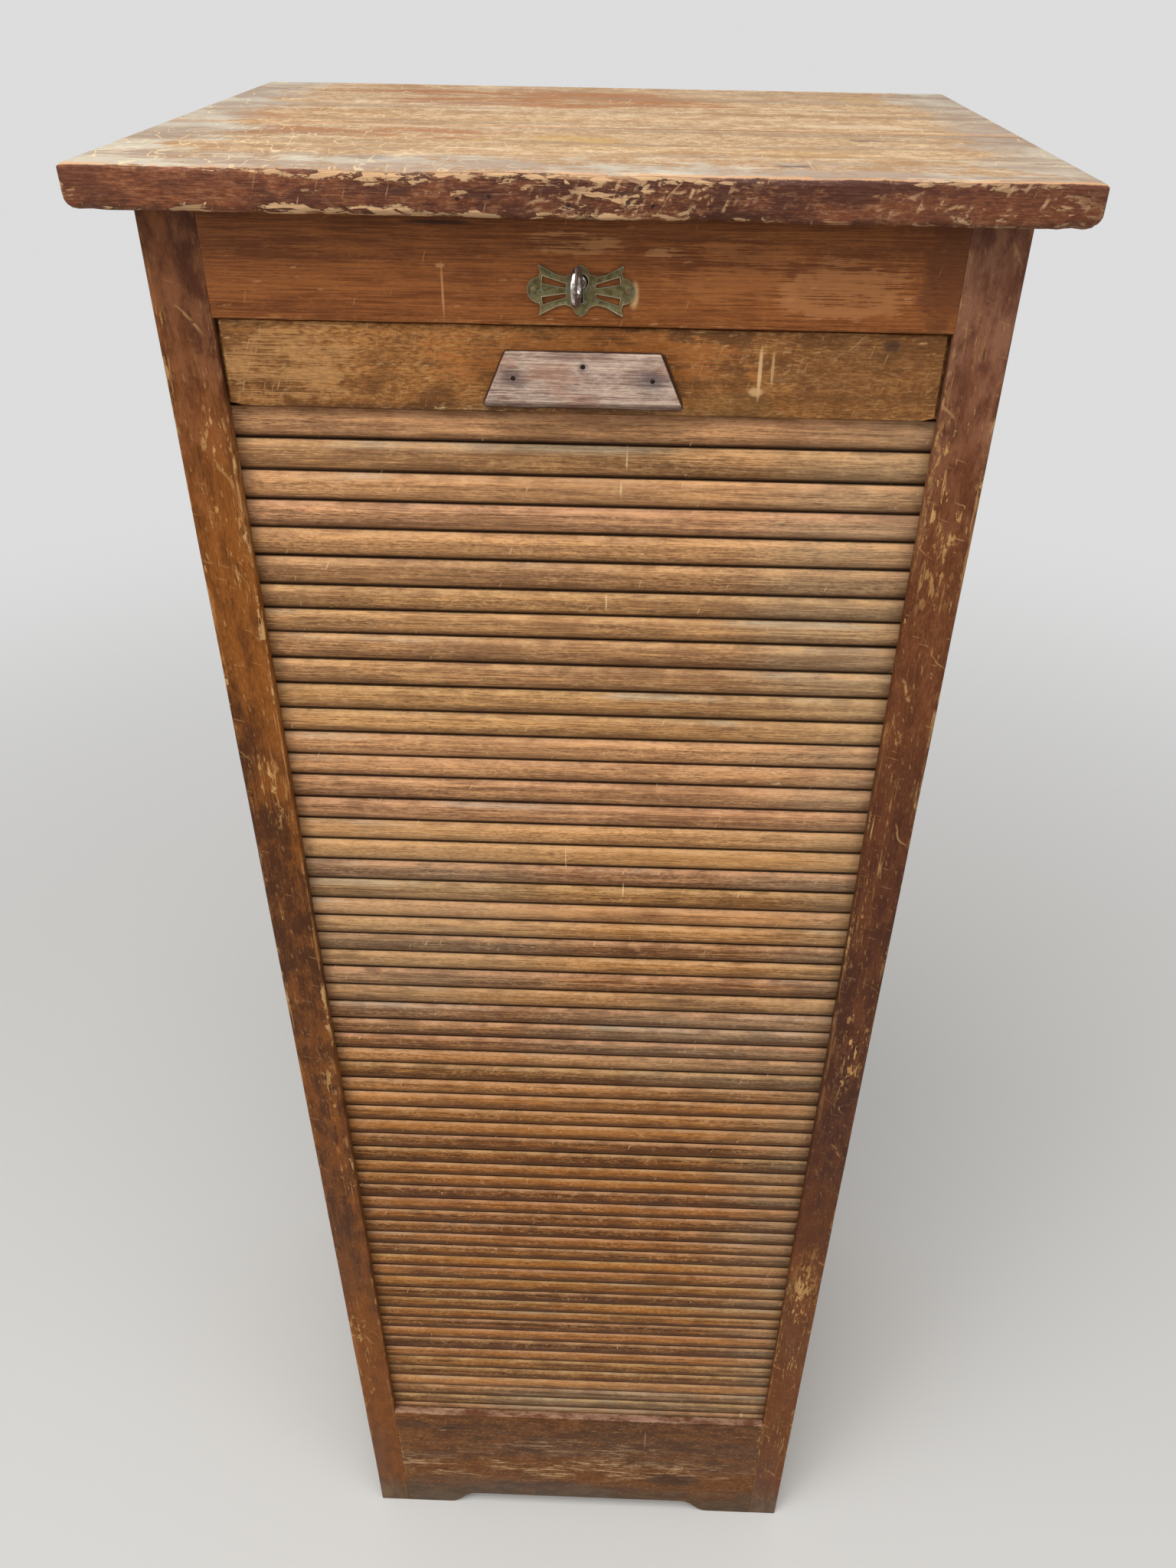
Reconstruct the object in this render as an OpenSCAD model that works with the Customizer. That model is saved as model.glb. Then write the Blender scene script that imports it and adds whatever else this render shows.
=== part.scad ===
// Roll-front filing cabinet in stained pine. A tall narrow case stands on its own posts.
// A curtain of slats on canvas closes its front and runs down behind the plinth to open.
// Millimetres. X to the right, Y to the back, Z up from the floor, origin under the middle of the top.

/* [Case] */
// Width over the posts
body_w = 440; // [410:2:520]
// Depth from the face of the posts to the back
body_d = 368; // [340:2:460]
// Height of the posts, up to the underside of the top
body_h = 1308; // [1240:2:1400]
// Width of a post, seen from the front
post_w = 30; // [28:1:40]
// Depth of a post, seen from the side
post_d = 45; // [40:1:60]
// Thickness of the rails at the sides
frame_t = 18; // [16:1:20]
// Height of the top rail of a side
side_top_h = 70; // [50:2:90]
// Height of the middle rail of a side
side_mid_h = 60; // [40:2:80]
// Height of the bottom rail of a side
side_bottom_h = 70; // [50:2:90]
// Height of the middle rail's centre above the floor
side_mid_z = 660; // [500:10:800]
// Gap between the floor and the bottom rails
foot_gap = 24; // [16:1:30]
// Thickness of a side panel
panel_t = 6; // [5:0.5:8]
// How far a side panel lies behind the face of its rails
panel_set = 6; // [4:0.5:7]
// How far a panel goes into its grooves
panel_in = 6; // [4:0.5:8]
// Length of the tenons
tenon_l = 20; // [14:1:22]
// Thickness of the tenons
tenon_t = 8; // [6:0.5:8]
// Shoulder above and below a tenon
shoulder = 10; // [8:0.5:12]

/* [Top] */
// Thickness of the top
top_t = 20; // [16:0.5:26]
// Overhang of the top at the front
over_front = 24; // [23:1:32]
// Overhang of the top at each side
over_side = 24; // [10:1:32]
// Overhang of the top at the back
over_back = 4; // [0:1:12]
// Distance from the face of the posts to the joint of the top's two planks
top_joint = 140; // [100:5:200]
// Radius of the top's worn corners
top_r = 6; // [3:0.5:10]
// Side of the battens that hold the top
batten_s = 18; // [14:1:22]
// Radius of the screws in the battens
screw_r = 2; // [1.5:0.25:2.5]
// Depth of those screws in the top
screw_in = 12; // [8:0.5:14]

/* [Base and back] */
// Height of the plinth, and of the cabinet's floor
plinth_h = 186; // [180:1:220]
// Thickness of the plinth
plinth_t = 7; // [5:0.2:7]
// Height of the cut-out under the plinth
cut_h = 20; // [10:1:24]
// Half width of the cut-out's flat
cut_flat = 115; // [80:1:130]
// Width of the curve from the flat down to a foot
cut_curve = 27; // [15:1:35]
// Thickness of the bottom board
bottom_t = 8; // [6:0.5:12]
// How far the bottom board goes into the side rails
bottom_in = 6; // [3:0.5:8]
// Thickness of the floor board
floor_t = 12; // [8:0.5:16]
// Thickness of the blocks behind the plinth and at the back
block_t = 16; // [10:0.5:18]
// Height of those blocks
block_h = 44; // [30:1:48]
// Thickness of the back panel
back_t = 6; // [4:0.5:8]
// How far the back panel goes into each back post
back_in = 10; // [6:0.5:12]
// Thickness of the inner back
inner_back_t = 6; // [4:0.5:8]
// Height of the rail across the back, under the top
back_rail_h = 50; // [36:1:60]

/* [Curtain] */
// Wood left in front of the curtain's groove
lip = 7.4; // [7.4:0.2:9]
// Width of the groove
track_w = 10.6; // [10.4:0.1:12]
// Depth of the groove in the posts
groove_in = 9; // [7:0.5:10]
// Radius of the groove's bends, at its middle
bend_r = 95; // [85:1:95]
// Gap between the bottom board and the groove
run_gap = 15; // [6:0.5:16]
// Gap between the groove and what lies in front of and behind it at the back
rear_gap = 2.2; // [1:0.1:3]
// Thickness of the linings that hold the groove between the posts
lining_t = 14; // [13:0.5:16]
// Distance from one slat to the next
slat_pitch = 17; // [14:0.25:22]
// Gap between two slats
slat_gap = 0.6; // [0.4:0.1:1.5]
// Thickness of a slat
slat_t = 7.5; // [6:0.1:7.6]
// Height of the round of a slat's face
slat_crown = 2.6; // [1:0.1:3.4]
// Thickness of the canvas
canvas_t = 1; // [0.6:0.1:1.2]
// Gap between a slat and the front of the groove
slat_play = 0.3; // [0.3:0.1:0.6]
// Gap between a slat's end and the bottom of the groove
slat_side = 1.5; // [0.8:0.1:3]

/* [Lead rail] */
// Height of the rail that leads the curtain
lead_h = 44; // [36:1:60]
// Thickness of that rail
lead_t = 14; // [13:0.25:14]
// How far its face lies behind the face of the posts
lead_set = 3; // [2:0.25:4]
// Gap between that rail's face and each post
lead_side = 2; // [1:0.25:3]
// Gap between that rail and the lock rail
lead_gap = 1; // [0.6:0.1:1.4]
// Radius of the rail's lower corners
lead_r = 4; // [2:0.5:6]
// Width of the handle at its top
handle_top = 80; // [60:1:110]
// Width of the handle at its bottom
handle_bottom = 107; // [100:1:140]
// Height of the handle
handle_h = 29; // [22:0.5:34]
// Height of the handle above the rail's lower edge
handle_up = 7; // [4:0.5:8]
// How far the handle stands out from the rail
handle_out = 14; // [10:0.5:18]
// Height of the finger hold that slopes in under the handle's top
handle_under = 5; // [3:0.5:8]
// Radius of the handle's lower edge
handle_r = 5; // [3:0.5:5]
// Shift of the handle to the right of the middle
handle_x = 1.5; // [-4:0.5:4]
// Radius of the handle's nails
nail_r = 1.1; // [0.8:0.1:1.5]
// Depth of the nails in the rail
nail_in = 9; // [5:0.5:11]
// Depth of the nail heads under the handle's face
nail_sunk = 0.8; // [0.4:0.1:1.5]

/* [Lock] */
// Height of the lock rail
lock_h = 53; // [52:0.5:70]
// Thickness of the lock rail
lock_t = 20; // [20:0.5:24]
// Wood left in front of the lock
lock_face = 9; // [8:0.25:9]
// Height of the key's axis above the rail's lower edge
key_up = 21.5; // [21:0.25:23]
// Half width of the lock case
case_w = 29.5; // [29:0.5:34]
// Height of the lock case above the key's axis
case_up = 18.5; // [18.5:0.25:22]
// Wall of the lock case
case_wall = 1.5; // [1:0.1:1.5]
// How far the cap reaches past the case at each side
cap_ear = 8; // [6:0.5:12]
// Radius of the key's shank
shank_r = 2; // [1.6:0.1:2.2]
// Gap round the shank in the cap
shank_play = 0.1; // [0.05:0.01:0.1]
// Reach of the key's bit from its axis
bit_reach = 8.5; // [8:0.1:8.6]
// Thickness of the bit
bit_t = 1.8; // [1.2:0.1:1.8]
// Outer radius of the key's ring
ring_r = 9.5; // [8:0.25:9.5]
// Radius of the ring's wire
wire_r = 1.8; // [1.2:0.1:2]
// Gap between the key's ring and the face of the lock rail
ring_gap = 3.5; // [2.5:0.1:4]
// Radius of the keyhole's head
hole_r = 3.6; // [3:0.1:3.8]
// Width of the keyhole's slot
slot_w = 2.2; // [2.1:0.05:3]
// Depth of the slot below the key's axis
slot_down = 10.1; // [9.2:0.1:10.5]
// Thickness of the bolt
bolt_t = 2; // [1.5:0.1:2.2]
// Height of the bolt's finger
finger_h = 6; // [4:0.25:6]
// Travel of the bolt
throw = 8; // [7:0.25:8]
// Room round the finger in the staple
staple_play = 0.6; // [0.4:0.05:0.8]
// Thickness of the staple
staple_t = 2; // [1.5:0.1:2.5]
// Distance of the staple from the middle
staple_x = 12; // [11.5:0.25:13]
// Thickness of the link plate
link_t = 1.5; // [1:0.1:2]
// Radius of the lock's and the link plate's screws
small_screw_r = 1.4; // [1:0.1:1.6]
// Thickness of the escutcheon
plate_t = 1.2; // [0.8:0.1:1.6]
// Radius of the escutcheon's pins
pin_r = 1; // [0.8:0.1:1.2]

/* [Shelves] */
// Number of shelves
shelf_count = 10; // [4:1:10]
// Thickness of a shelf
shelf_t = 8; // [6:0.5:12]
// Side of the cleats that carry the shelves and the floor
cleat_s = 8; // [6:0.5:10]
// Gap between a shelf's end and the lining
shelf_play = 0.5; // [0.3:0.1:1.5]
// Gap between the curtain's groove and a shelf
shelf_back_off = 6; // [4:0.5:20]

/* [Hidden] */
SHELVES = [for (i = [1:shelf_count]) str("shelf_", i)];
$fn = 48;
over = 1;

// the case, from its own front face and its middle
top_w = body_w + 2 * over_side;
top_d = over_front + body_d + over_back;
front_y = over_front - top_d / 2;
half_w = body_w / 2;
inner_x = half_w - post_w;
frame_x = half_w - frame_t;
lining_x = frame_x - lining_t;
rear_post_y = body_d - post_d;

// the rails and panels of a side
tenon_x = frame_x + (frame_t - tenon_t) / 2;
panel_x = half_w - panel_set - panel_t;
groove_play = 0.2;
panel_groove = panel_in + 1;
board_play = 0.3;
lock_tenon_y = 6;
bottom_rail_z = foot_gap;
mid_rail_z = side_mid_z - side_mid_h / 2;
top_rail_z = body_h - side_top_h;

// the base
bottom_z = foot_gap + 2;
bottom_top = bottom_z + bottom_t;
floor_z = plinth_h - floor_t;

// the curtain's groove: down the front, under the floor and up the back
track_back = lip + track_w;
run_z = bottom_top + run_gap + track_w / 2;
bend_z = run_z + bend_r;
front_bend_y = lip + track_w / 2 + bend_r;
rear_track_y = body_d - back_t - rear_gap - track_w;
rear_bend_y = rear_track_y + track_w / 2 - bend_r;
inner_back_y = rear_track_y - rear_gap - inner_back_t;
track_end = 18;
rear_track_top = body_h - back_rail_h - track_end;
back_tenon_y = rear_track_y + 1;

// the lock rail, the rail that leads the curtain and the slats under it
lock_z = body_h - lock_h;
lead_top = lock_z - lead_gap;
lead_z = lead_top - lead_h;
lead_x = inner_x - lead_side;
groove_x = inner_x + groove_in;
slat_x = groove_x - slat_side;
slat_y = lip + slat_play;
canvas_y = slat_y + slat_t;
seam_gap = 0.5;
slat_top = lead_z - seam_gap;
tail_up = 4;
slat_count = floor((slat_top - bend_z - tail_up) / slat_pitch);
tail_z = slat_top - slat_count * slat_pitch;
lead_back = lead_set + lead_t;
handle_z = lead_z + handle_up;
nail_x = 36;
nail_down = 8;
nail_places = [[-nail_x, handle_h / 2], [0, handle_h - nail_down], [nail_x, handle_h / 2]];
canvas_x = inner_x - 4;
canvas_top = lead_z - 0.2;

// the lock's case and cap
key_z = lock_z + key_up;
case_top = key_z + case_up;
cap_y = lock_t - case_wall;
cap_x = case_w + cap_ear;
case_in_y = lock_face + case_wall;
lock_screw_in = 9;

// the bolt, the stud that guides it and the spring over it
bolt_y = case_in_y + 2.3;
finger_z = lock_z + case_wall + 2;
bite = 1.5;
bar_z = key_z + bit_reach - bite;
spring_room = 2;
bar_h = case_top - case_wall - spring_room - bar_z;
bar_right = 6;
bolt_left = -case_w + case_wall + 2;
leg_w = 14.5;
notch_w = 11.2;
notch_h = bite + 0.5;
guide_r = 1.3;
guide_slack = 0.2;
guide_x = bolt_left + 3 + throw;
spring_w = 28;
spring_bow = 0.9;
leaf_t = 0.5;

// the key
ring_y = -ring_gap - ring_r;
collar_r = shank_r + 0.9;
collar_y = [-ring_gap - 0.4, -ring_gap + 1.2];
shank_end = lock_t + 0.5;
bit_side = 0.8;

// the staple, its base and the base's screws
staple_wall = 1.3;
staple_bridge = 1.6;
tip_gap = 1.5;
finger_tip = staple_x - staple_t / 2 - tip_gap;
staple_y = bolt_y - staple_play - staple_wall;
staple_d = bolt_t + 2 * (staple_play + staple_wall);
staple_top = finger_z + finger_h + staple_play + staple_bridge;
link_w = 34;
link_right = staple_x + 10;
link_left = link_right - link_w;
link_y = staple_y - 3;
link_screw_off = 4.5;
link_screw_l = 10;

// the escutcheon: one quarter of its outline, one of its four windows, its round ends and its pins
plate_down = 4.3;
plate_z = key_z - plate_down;
wing = [[0.4, 12], [2.6, 10.6], [4.4, 7.8], [8, 6.6], [12.5, 7.6], [21.4, 12], [20.4, 8.4], [21.6, 5]];
window = [[7.5, 1.3], [19.8, 3.2], [19.4, 6.8], [7.5, 3.2]];
lobe_x = 21;
lobe_r = 6.2;
plate_pin_x = 23.8;
plate_pin_in = 7;

// the shelves, evenly spaced between the floor and the top
shelf_step = (body_h - plinth_h) / (shelf_count + 1);
shelf_x = lining_x - shelf_play;
shelf_y = track_back + shelf_back_off;
shelf_end = inner_back_y - shelf_back_off;
cleat_off = 5;
cleat_y = post_d + cleat_off;
cleat_end = rear_post_y - cleat_off;
floor_off = 3;
batten_off = 15;
batten_y = post_d + batten_off;
batten_end = rear_post_y - batten_off;
screw_off = 30;
screw_places = [batten_y + screw_off, batten_end - screw_off];

// a box from one corner to the other
module span(low, high) {
    translate(low) cube(high - low);
}

// moves a piece from the cabinet's own front face to the frame
module placed() {
    translate([0, front_y, 0]) children();
}

// an outline in Y and Z, drawn out along X
module along_x(from, to) {
    translate([from, 0, 0]) rotate([90, 0, 90]) linear_extrude(to - from) children();
}

// an outline in X and Z, drawn out along Y
module along_y(from, to) {
    translate([0, to, 0]) rotate([90, 0, 0]) linear_extrude(to - from) children();
}

// a round pin or hole along Y
module rod_y(x, z, r, from, to) {
    translate([x, to, z]) rotate([90, 0, 0]) cylinder(r = r, h = to - from);
}

// a round pin or hole along Z
module rod_z(x, y, r, from, to) {
    translate([x, y, from]) cylinder(r = r, h = to - from);
}

// one quarter of a bend; side is -1 at the front and 1 at the back
module bend(side) {
    intersection() {
        difference() {
            circle(r = bend_r + track_w / 2);
            circle(r = bend_r - track_w / 2);
        }
        translate([side > 0 ? 0 : -2 * bend_r, -2 * bend_r]) square(2 * bend_r);
    }
}

// the whole groove, as the room that it takes
module track() {
    along_x(-groove_x, groove_x) {
        translate([lip, bend_z]) square([track_w, lead_top + lead_gap - bend_z]);
        translate([front_bend_y, bend_z]) bend(-1);
        translate([front_bend_y, run_z - track_w / 2]) square([rear_bend_y - front_bend_y, track_w]);
        translate([rear_bend_y, bend_z]) bend(1);
        translate([rear_track_y, bend_z]) square([track_w, rear_track_top - bend_z]);
    }
}

// the tenons of the three rails of a side, which also cut their mortises
module side_tenon(z, h, y, end) {
    span([tenon_x, y, z + shoulder], [tenon_x + tenon_t, end, z + h - shoulder]);
}

module side_mortises(y, end) {
    side_tenon(bottom_rail_z, side_bottom_h, y, end);
    side_tenon(mid_rail_z, side_mid_h, y, end);
    side_tenon(top_rail_z, side_top_h, y, end);
}

// the room that the two panels of a side take in the posts
module panel_grooves(y, end) {
    low = bottom_rail_z + side_bottom_h - panel_groove;
    high = top_rail_z + panel_groove;
    span([panel_x - groove_play, y, low], [panel_x + panel_t + groove_play, end, high]);
}

module lock_rail_tenon(z_from, z_to) {
    span([inner_x - over, lock_tenon_y, z_from], [inner_x + tenon_l, lock_tenon_y + tenon_t, z_to]);
}

module back_rail_tenon() {
    low = [inner_x - over, back_tenon_y, body_h - back_rail_h + shoulder];
    span(low, [inner_x + tenon_l, back_tenon_y + tenon_t, body_h - shoulder]);
}

module front_post() {
    difference() {
        span([inner_x, 0, 0], [half_w, post_d, body_h]);
        track();
        lock_rail_tenon(lock_z + shoulder, body_h - shoulder);
        side_mortises(post_d - tenon_l, post_d + over);
        panel_grooves(post_d - panel_groove, post_d + over);
    }
}

module back_post() {
    difference() {
        span([inner_x, rear_post_y, 0], [half_w, body_d, body_h]);
        track();
        back_rail_tenon();
        side_mortises(rear_post_y - over, rear_post_y + tenon_l);
        panel_grooves(rear_post_y - over, rear_post_y + panel_groove);
        span([inner_x - over, body_d - back_t, bottom_z], [inner_x + back_in, body_d + over, body_h + over]);
    }
}

// one rail of a side, with a tenon at each end and grooves for the panels
module side_rail(z, h, groove_above, groove_below) {
    difference() {
        union() {
            span([frame_x, post_d, z], [half_w, rear_post_y, z + h]);
            side_tenon(z, h, post_d - tenon_l, post_d);
            side_tenon(z, h, rear_post_y, rear_post_y + tenon_l);
        }
        if (groove_above) side_rail_groove(z + h - panel_groove, z + h + over);
        if (groove_below) side_rail_groove(z - over, z + panel_groove);
    }
}

module side_rail_groove(from, to) {
    low = [panel_x - groove_play, post_d - panel_groove, from];
    high = [panel_x + panel_t + groove_play, rear_post_y + panel_groove, to];
    span(low, high);
}

module side_bottom_rail() {
    difference() {
        side_rail(bottom_rail_z, side_bottom_h, true, false);
        low = [frame_x - over, post_d - over, bottom_z];
        span(low, [frame_x + bottom_in, rear_post_y + over, bottom_top]);
    }
}

module side_panel(from, to) {
    low = [panel_x, post_d - panel_in, from - panel_in];
    high = [panel_x + panel_t, rear_post_y + panel_in, to + panel_in];
    span(low, high);
}

module upper_panel() {
    side_panel(mid_rail_z + side_mid_h, top_rail_z);
}

module lower_panel() {
    side_panel(bottom_rail_z + side_bottom_h, mid_rail_z);
}

module lining() {
    difference() {
        span([lining_x, post_d, bottom_top], [frame_x, rear_post_y, body_h]);
        track();
    }
}

// the strips that carry the floor and the shelves along one side
module cleats() {
    tops = concat([floor_z], [for (i = [1:shelf_count]) plinth_h + i * shelf_step - shelf_t]);
    for (z = tops) span([lining_x - cleat_s, cleat_y, z - cleat_s], [lining_x, cleat_end, z]);
}

// outline of the whole top, seen from above, with its corners rounded
module top_outline() {
    x = top_w / 2 - top_r;
    front = -over_front + top_r;
    back = body_d + over_back - top_r;
    translate([-x - top_r, front]) square([top_w, back - front]);
    translate([-x, front - top_r]) square([2 * x, top_d]);
    for (cx = [-x, x], cy = [front, back]) translate([cx, cy]) circle(r = top_r);
}

module top_plank(from, to) {
    difference() {
        intersection() {
            translate([0, 0, body_h]) linear_extrude(top_t) top_outline();
            span([-top_w, from, body_h - over], [top_w, to, body_h + top_t + over]);
        }
        top_screw_set();
    }
}

module top_screw_set() {
    x = lining_x - batten_s / 2;
    for (sx = [-x, x], y = screw_places) rod_z(sx, y, screw_r, body_h - batten_s, body_h + screw_in);
}

module top_front_plank() {
    color("peru") placed() top_plank(-over_front - over, top_joint);
}

module top_rear_plank() {
    color("tan") placed() top_plank(top_joint, body_d + over_back + over);
}

module top_battens() {
    color("burlywood") placed() difference() {
        for (side = [0, 1]) mirror([side, 0, 0])
            span([lining_x - batten_s, batten_y, body_h - batten_s], [lining_x, batten_end, body_h]);
        top_screw_set();
    }
}

module top_screws() {
    color("dimgray") placed() top_screw_set();
}

module left_front_post() {
    color("sienna") placed() mirror([1, 0, 0]) front_post();
}

module right_front_post() {
    color("saddlebrown") placed() front_post();
}

module left_back_post() {
    color("sienna") placed() mirror([1, 0, 0]) back_post();
}

module right_back_post() {
    color("saddlebrown") placed() back_post();
}

module left_top_rail() {
    color("sienna") placed() mirror([1, 0, 0]) side_rail(top_rail_z, side_top_h, false, true);
}

module left_middle_rail() {
    color("sienna") placed() mirror([1, 0, 0]) side_rail(mid_rail_z, side_mid_h, true, true);
}

module left_bottom_rail() {
    color("sienna") placed() mirror([1, 0, 0]) side_bottom_rail();
}

module right_top_rail() {
    color("sienna") placed() side_rail(top_rail_z, side_top_h, false, true);
}

module right_middle_rail() {
    color("sienna") placed() side_rail(mid_rail_z, side_mid_h, true, true);
}

module right_bottom_rail() {
    color("sienna") placed() side_bottom_rail();
}

module left_upper_panel() {
    color("chocolate") placed() mirror([1, 0, 0]) upper_panel();
}

module left_lower_panel() {
    color("chocolate") placed() mirror([1, 0, 0]) lower_panel();
}

module right_upper_panel() {
    color("chocolate") placed() upper_panel();
}

module right_lower_panel() {
    color("chocolate") placed() lower_panel();
}

module left_lining() {
    color("burlywood") placed() mirror([1, 0, 0]) lining();
}

module right_lining() {
    color("burlywood") placed() lining();
}

module left_cleats() {
    color("tan") placed() mirror([1, 0, 0]) cleats();
}

module right_cleats() {
    color("tan") placed() cleats();
}

// the keyhole, as the room that it takes: a round head over a slot
module keyhole(from, to) {
    rod_y(0, key_z, hole_r, from, to);
    span([-slot_w / 2, from, key_z - slot_down], [slot_w / 2, to, key_z]);
}

// the lock's four screws through the ears of its cap
module lock_screw_set() {
    x = (case_w + cap_x) / 2;
    for (sx = [-x, x], z = [lock_z + lock_screw_in, case_top - lock_screw_in])
        rod_y(sx, z, small_screw_r, lock_face + over, lock_t);
}

// the two pins of the escutcheon
module escutcheon_pin_set(r) {
    for (x = [-plate_pin_x, plate_pin_x]) rod_y(x, plate_z, r, -plate_t, plate_pin_in);
}

module lock_rail() {
    color("sienna") placed() difference() {
        union() {
            span([-inner_x, 0, lock_z], [inner_x, lock_t, body_h]);
            for (side = [0, 1]) mirror([side, 0, 0]) lock_rail_tenon(lock_z + shoulder, body_h - shoulder);
        }
        span([-case_w, lock_face, lock_z - over], [case_w, lock_t + over, case_top]);
        span([-cap_x, cap_y, lock_z - over], [cap_x, lock_t + over, case_top]);
        keyhole(-over, lock_face + over);
        lock_screw_set();
        escutcheon_pin_set(pin_r);
    }
}

// outline of the cut-out under the plinth: a flat with an S-curve down to each foot
module cut_out() {
    curve = [for (a = [0:15:180]) [cut_flat + cut_curve * a / 180, cut_h * (1 + cos(a)) / 2]];
    left = [for (i = [len(curve) - 1:-1:0]) [-curve[i][0], curve[i][1]]];
    foot = [[cut_flat + cut_curve, -over], [-cut_flat - cut_curve, -over]];
    polygon(concat(left, curve, foot));
}

module plinth() {
    color("sienna") placed() difference() {
        span([-inner_x, 0, 0], [inner_x, plinth_t, plinth_h]);
        along_y(-over, plinth_t + over) cut_out();
    }
}

module plinth_block() {
    high = [inner_x, plinth_t + block_t, bottom_top + block_h];
    color("burlywood") placed() span([-inner_x, plinth_t, bottom_top], high);
}

module back_rail() {
    low = [-inner_x, inner_back_y + inner_back_t, body_h - back_rail_h];
    color("burlywood") placed() {
        span(low, [inner_x, body_d - back_t, body_h]);
        for (side = [0, 1]) mirror([side, 0, 0]) back_rail_tenon();
    }
}

module back_block() {
    back = body_d - back_t;
    high = [inner_x, back, bottom_top + block_h];
    color("burlywood") placed() span([-inner_x, back - block_t, bottom_top], high);
}

module back_panel() {
    x = inner_x + back_in - groove_play;
    color("peru") placed() span([-x, body_d - back_t, bottom_z], [x, body_d, body_h]);
}

module inner_back() {
    x = inner_x - board_play;
    color("burlywood") placed() span([-x, inner_back_y, plinth_h], [x, inner_back_y + inner_back_t, body_h]);
}

// the bottom board lies in grooves of the side rails and reaches the plinth and the back
module bottom_board() {
    color("burlywood") placed() {
        span([-inner_x, plinth_t, bottom_z], [inner_x, body_d - back_t, bottom_top]);
        x = frame_x + bottom_in;
        span([-x, post_d, bottom_z], [x, rear_post_y, bottom_top]);
    }
}

module floor_board() {
    x = lining_x - board_play;
    high = [x, inner_back_y + inner_back_t, plinth_h];
    color("burlywood") placed() span([-x, track_back + floor_off, floor_z], high);
}

// a shelf with a round nose
module shelf(i) {
    low = plinth_h + i * shelf_step - shelf_t;
    nose = shelf_y + shelf_t / 2;
    color("wheat") placed() along_x(-shelf_x, shelf_x) {
        translate([nose, low]) square([shelf_end - nose, shelf_t]);
        translate([nose, low + shelf_t / 2]) circle(d = shelf_t);
    }
}

// section of a slat, flat at the back and round at the front
module slat_section() {
    h = slat_pitch - slat_gap;
    r = (h * h / 4 + slat_crown * slat_crown) / (2 * slat_crown);
    intersection() {
        square([slat_t, h]);
        translate([r, h / 2]) circle(r = r, $fn = 96);
    }
}

module tambour_slats() {
    color("peru") placed() for (i = [0:slat_count - 1])
        translate([0, slat_y, tail_z + i * slat_pitch]) along_x(-slat_x, slat_x) slat_section();
}

module tambour_canvas() {
    color("beige") placed() span([-canvas_x, canvas_y, tail_z], [canvas_x, canvas_y + canvas_t, canvas_top]);
}

// the handle's nails, which also cut their holes
module nail_set(from) {
    for (p = nail_places)
        rod_y(handle_x + p[0], handle_z + p[1], nail_r, from, lead_set + nail_in);
}

// base of the staple, let into the lead rail
module link_base() {
    span([link_left, link_y, lead_top - link_t], [link_right, lead_back, lead_top]);
}

module link_screw_set() {
    y = (link_y + lead_back) / 2;
    for (x = [link_left + link_screw_off, link_right - link_screw_off])
        rod_z(x, y, small_screw_r, lead_top - link_t - link_screw_l, lead_top);
}

module lead_rail() {
    color("peru") placed() difference() {
        union() {
            span([-slat_x, slat_y, lead_z], [slat_x, lead_back, lead_top]);
            along_y(lead_set, slat_y) {
                translate([-lead_x, lead_z + lead_r]) square([2 * lead_x, lead_h - lead_r]);
                translate([-lead_x + lead_r, lead_z]) square([2 * (lead_x - lead_r), lead_r]);
                for (x = [lead_r - lead_x, lead_x - lead_r])
                    translate([x, lead_z + lead_r]) circle(r = lead_r);
            }
        }
        link_base();
        link_screw_set();
        nail_set(0);
    }
}

// side view of the handle: a finger hold slopes in under its top, its lower edge is round
module handle_section() {
    front = lead_set - handle_out;
    top = handle_z + handle_h;
    low = handle_z + handle_r;
    back = [[lead_set, handle_z], [lead_set, top - handle_under]];
    polygon(concat(back, [[front, top], [front, low], [front + handle_r, handle_z]]));
    translate([front + handle_r, low]) circle(r = handle_r);
}

module handle() {
    front = lead_set - handle_out;
    a = handle_bottom / 2;
    b = handle_top / 2;
    top = handle_z + handle_h;
    color("rosybrown") placed() difference() {
        intersection() {
            along_x(-a + handle_x, a + handle_x) handle_section();
            translate([handle_x, 0, 0]) along_y(front - over, lead_set + over)
                polygon([[-a, handle_z], [a, handle_z], [b, top], [-b, top]]);
        }
        nail_set(front - over);
    }
}

module handle_nails() {
    color("dimgray") placed() nail_set(lead_set - handle_out + nail_sunk);
}

// the staple stands on its base plate and goes up into the lock
module link_plate() {
    low = [staple_x - staple_t / 2, staple_y, lead_top - link_t];
    color("darkgoldenrod") placed() difference() {
        union() {
            link_base();
            span(low, [staple_x + staple_t / 2, staple_y + staple_d, staple_top]);
        }
        hole_low = [staple_x - staple_t, bolt_y - staple_play, finger_z - staple_play];
        hole_high = [staple_x + staple_t, bolt_y + bolt_t + staple_play, finger_z + finger_h + staple_play];
        span(hole_low, hole_high);
        link_screw_set();
    }
}

module link_screws() {
    color("dimgray") placed() link_screw_set();
}

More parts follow.
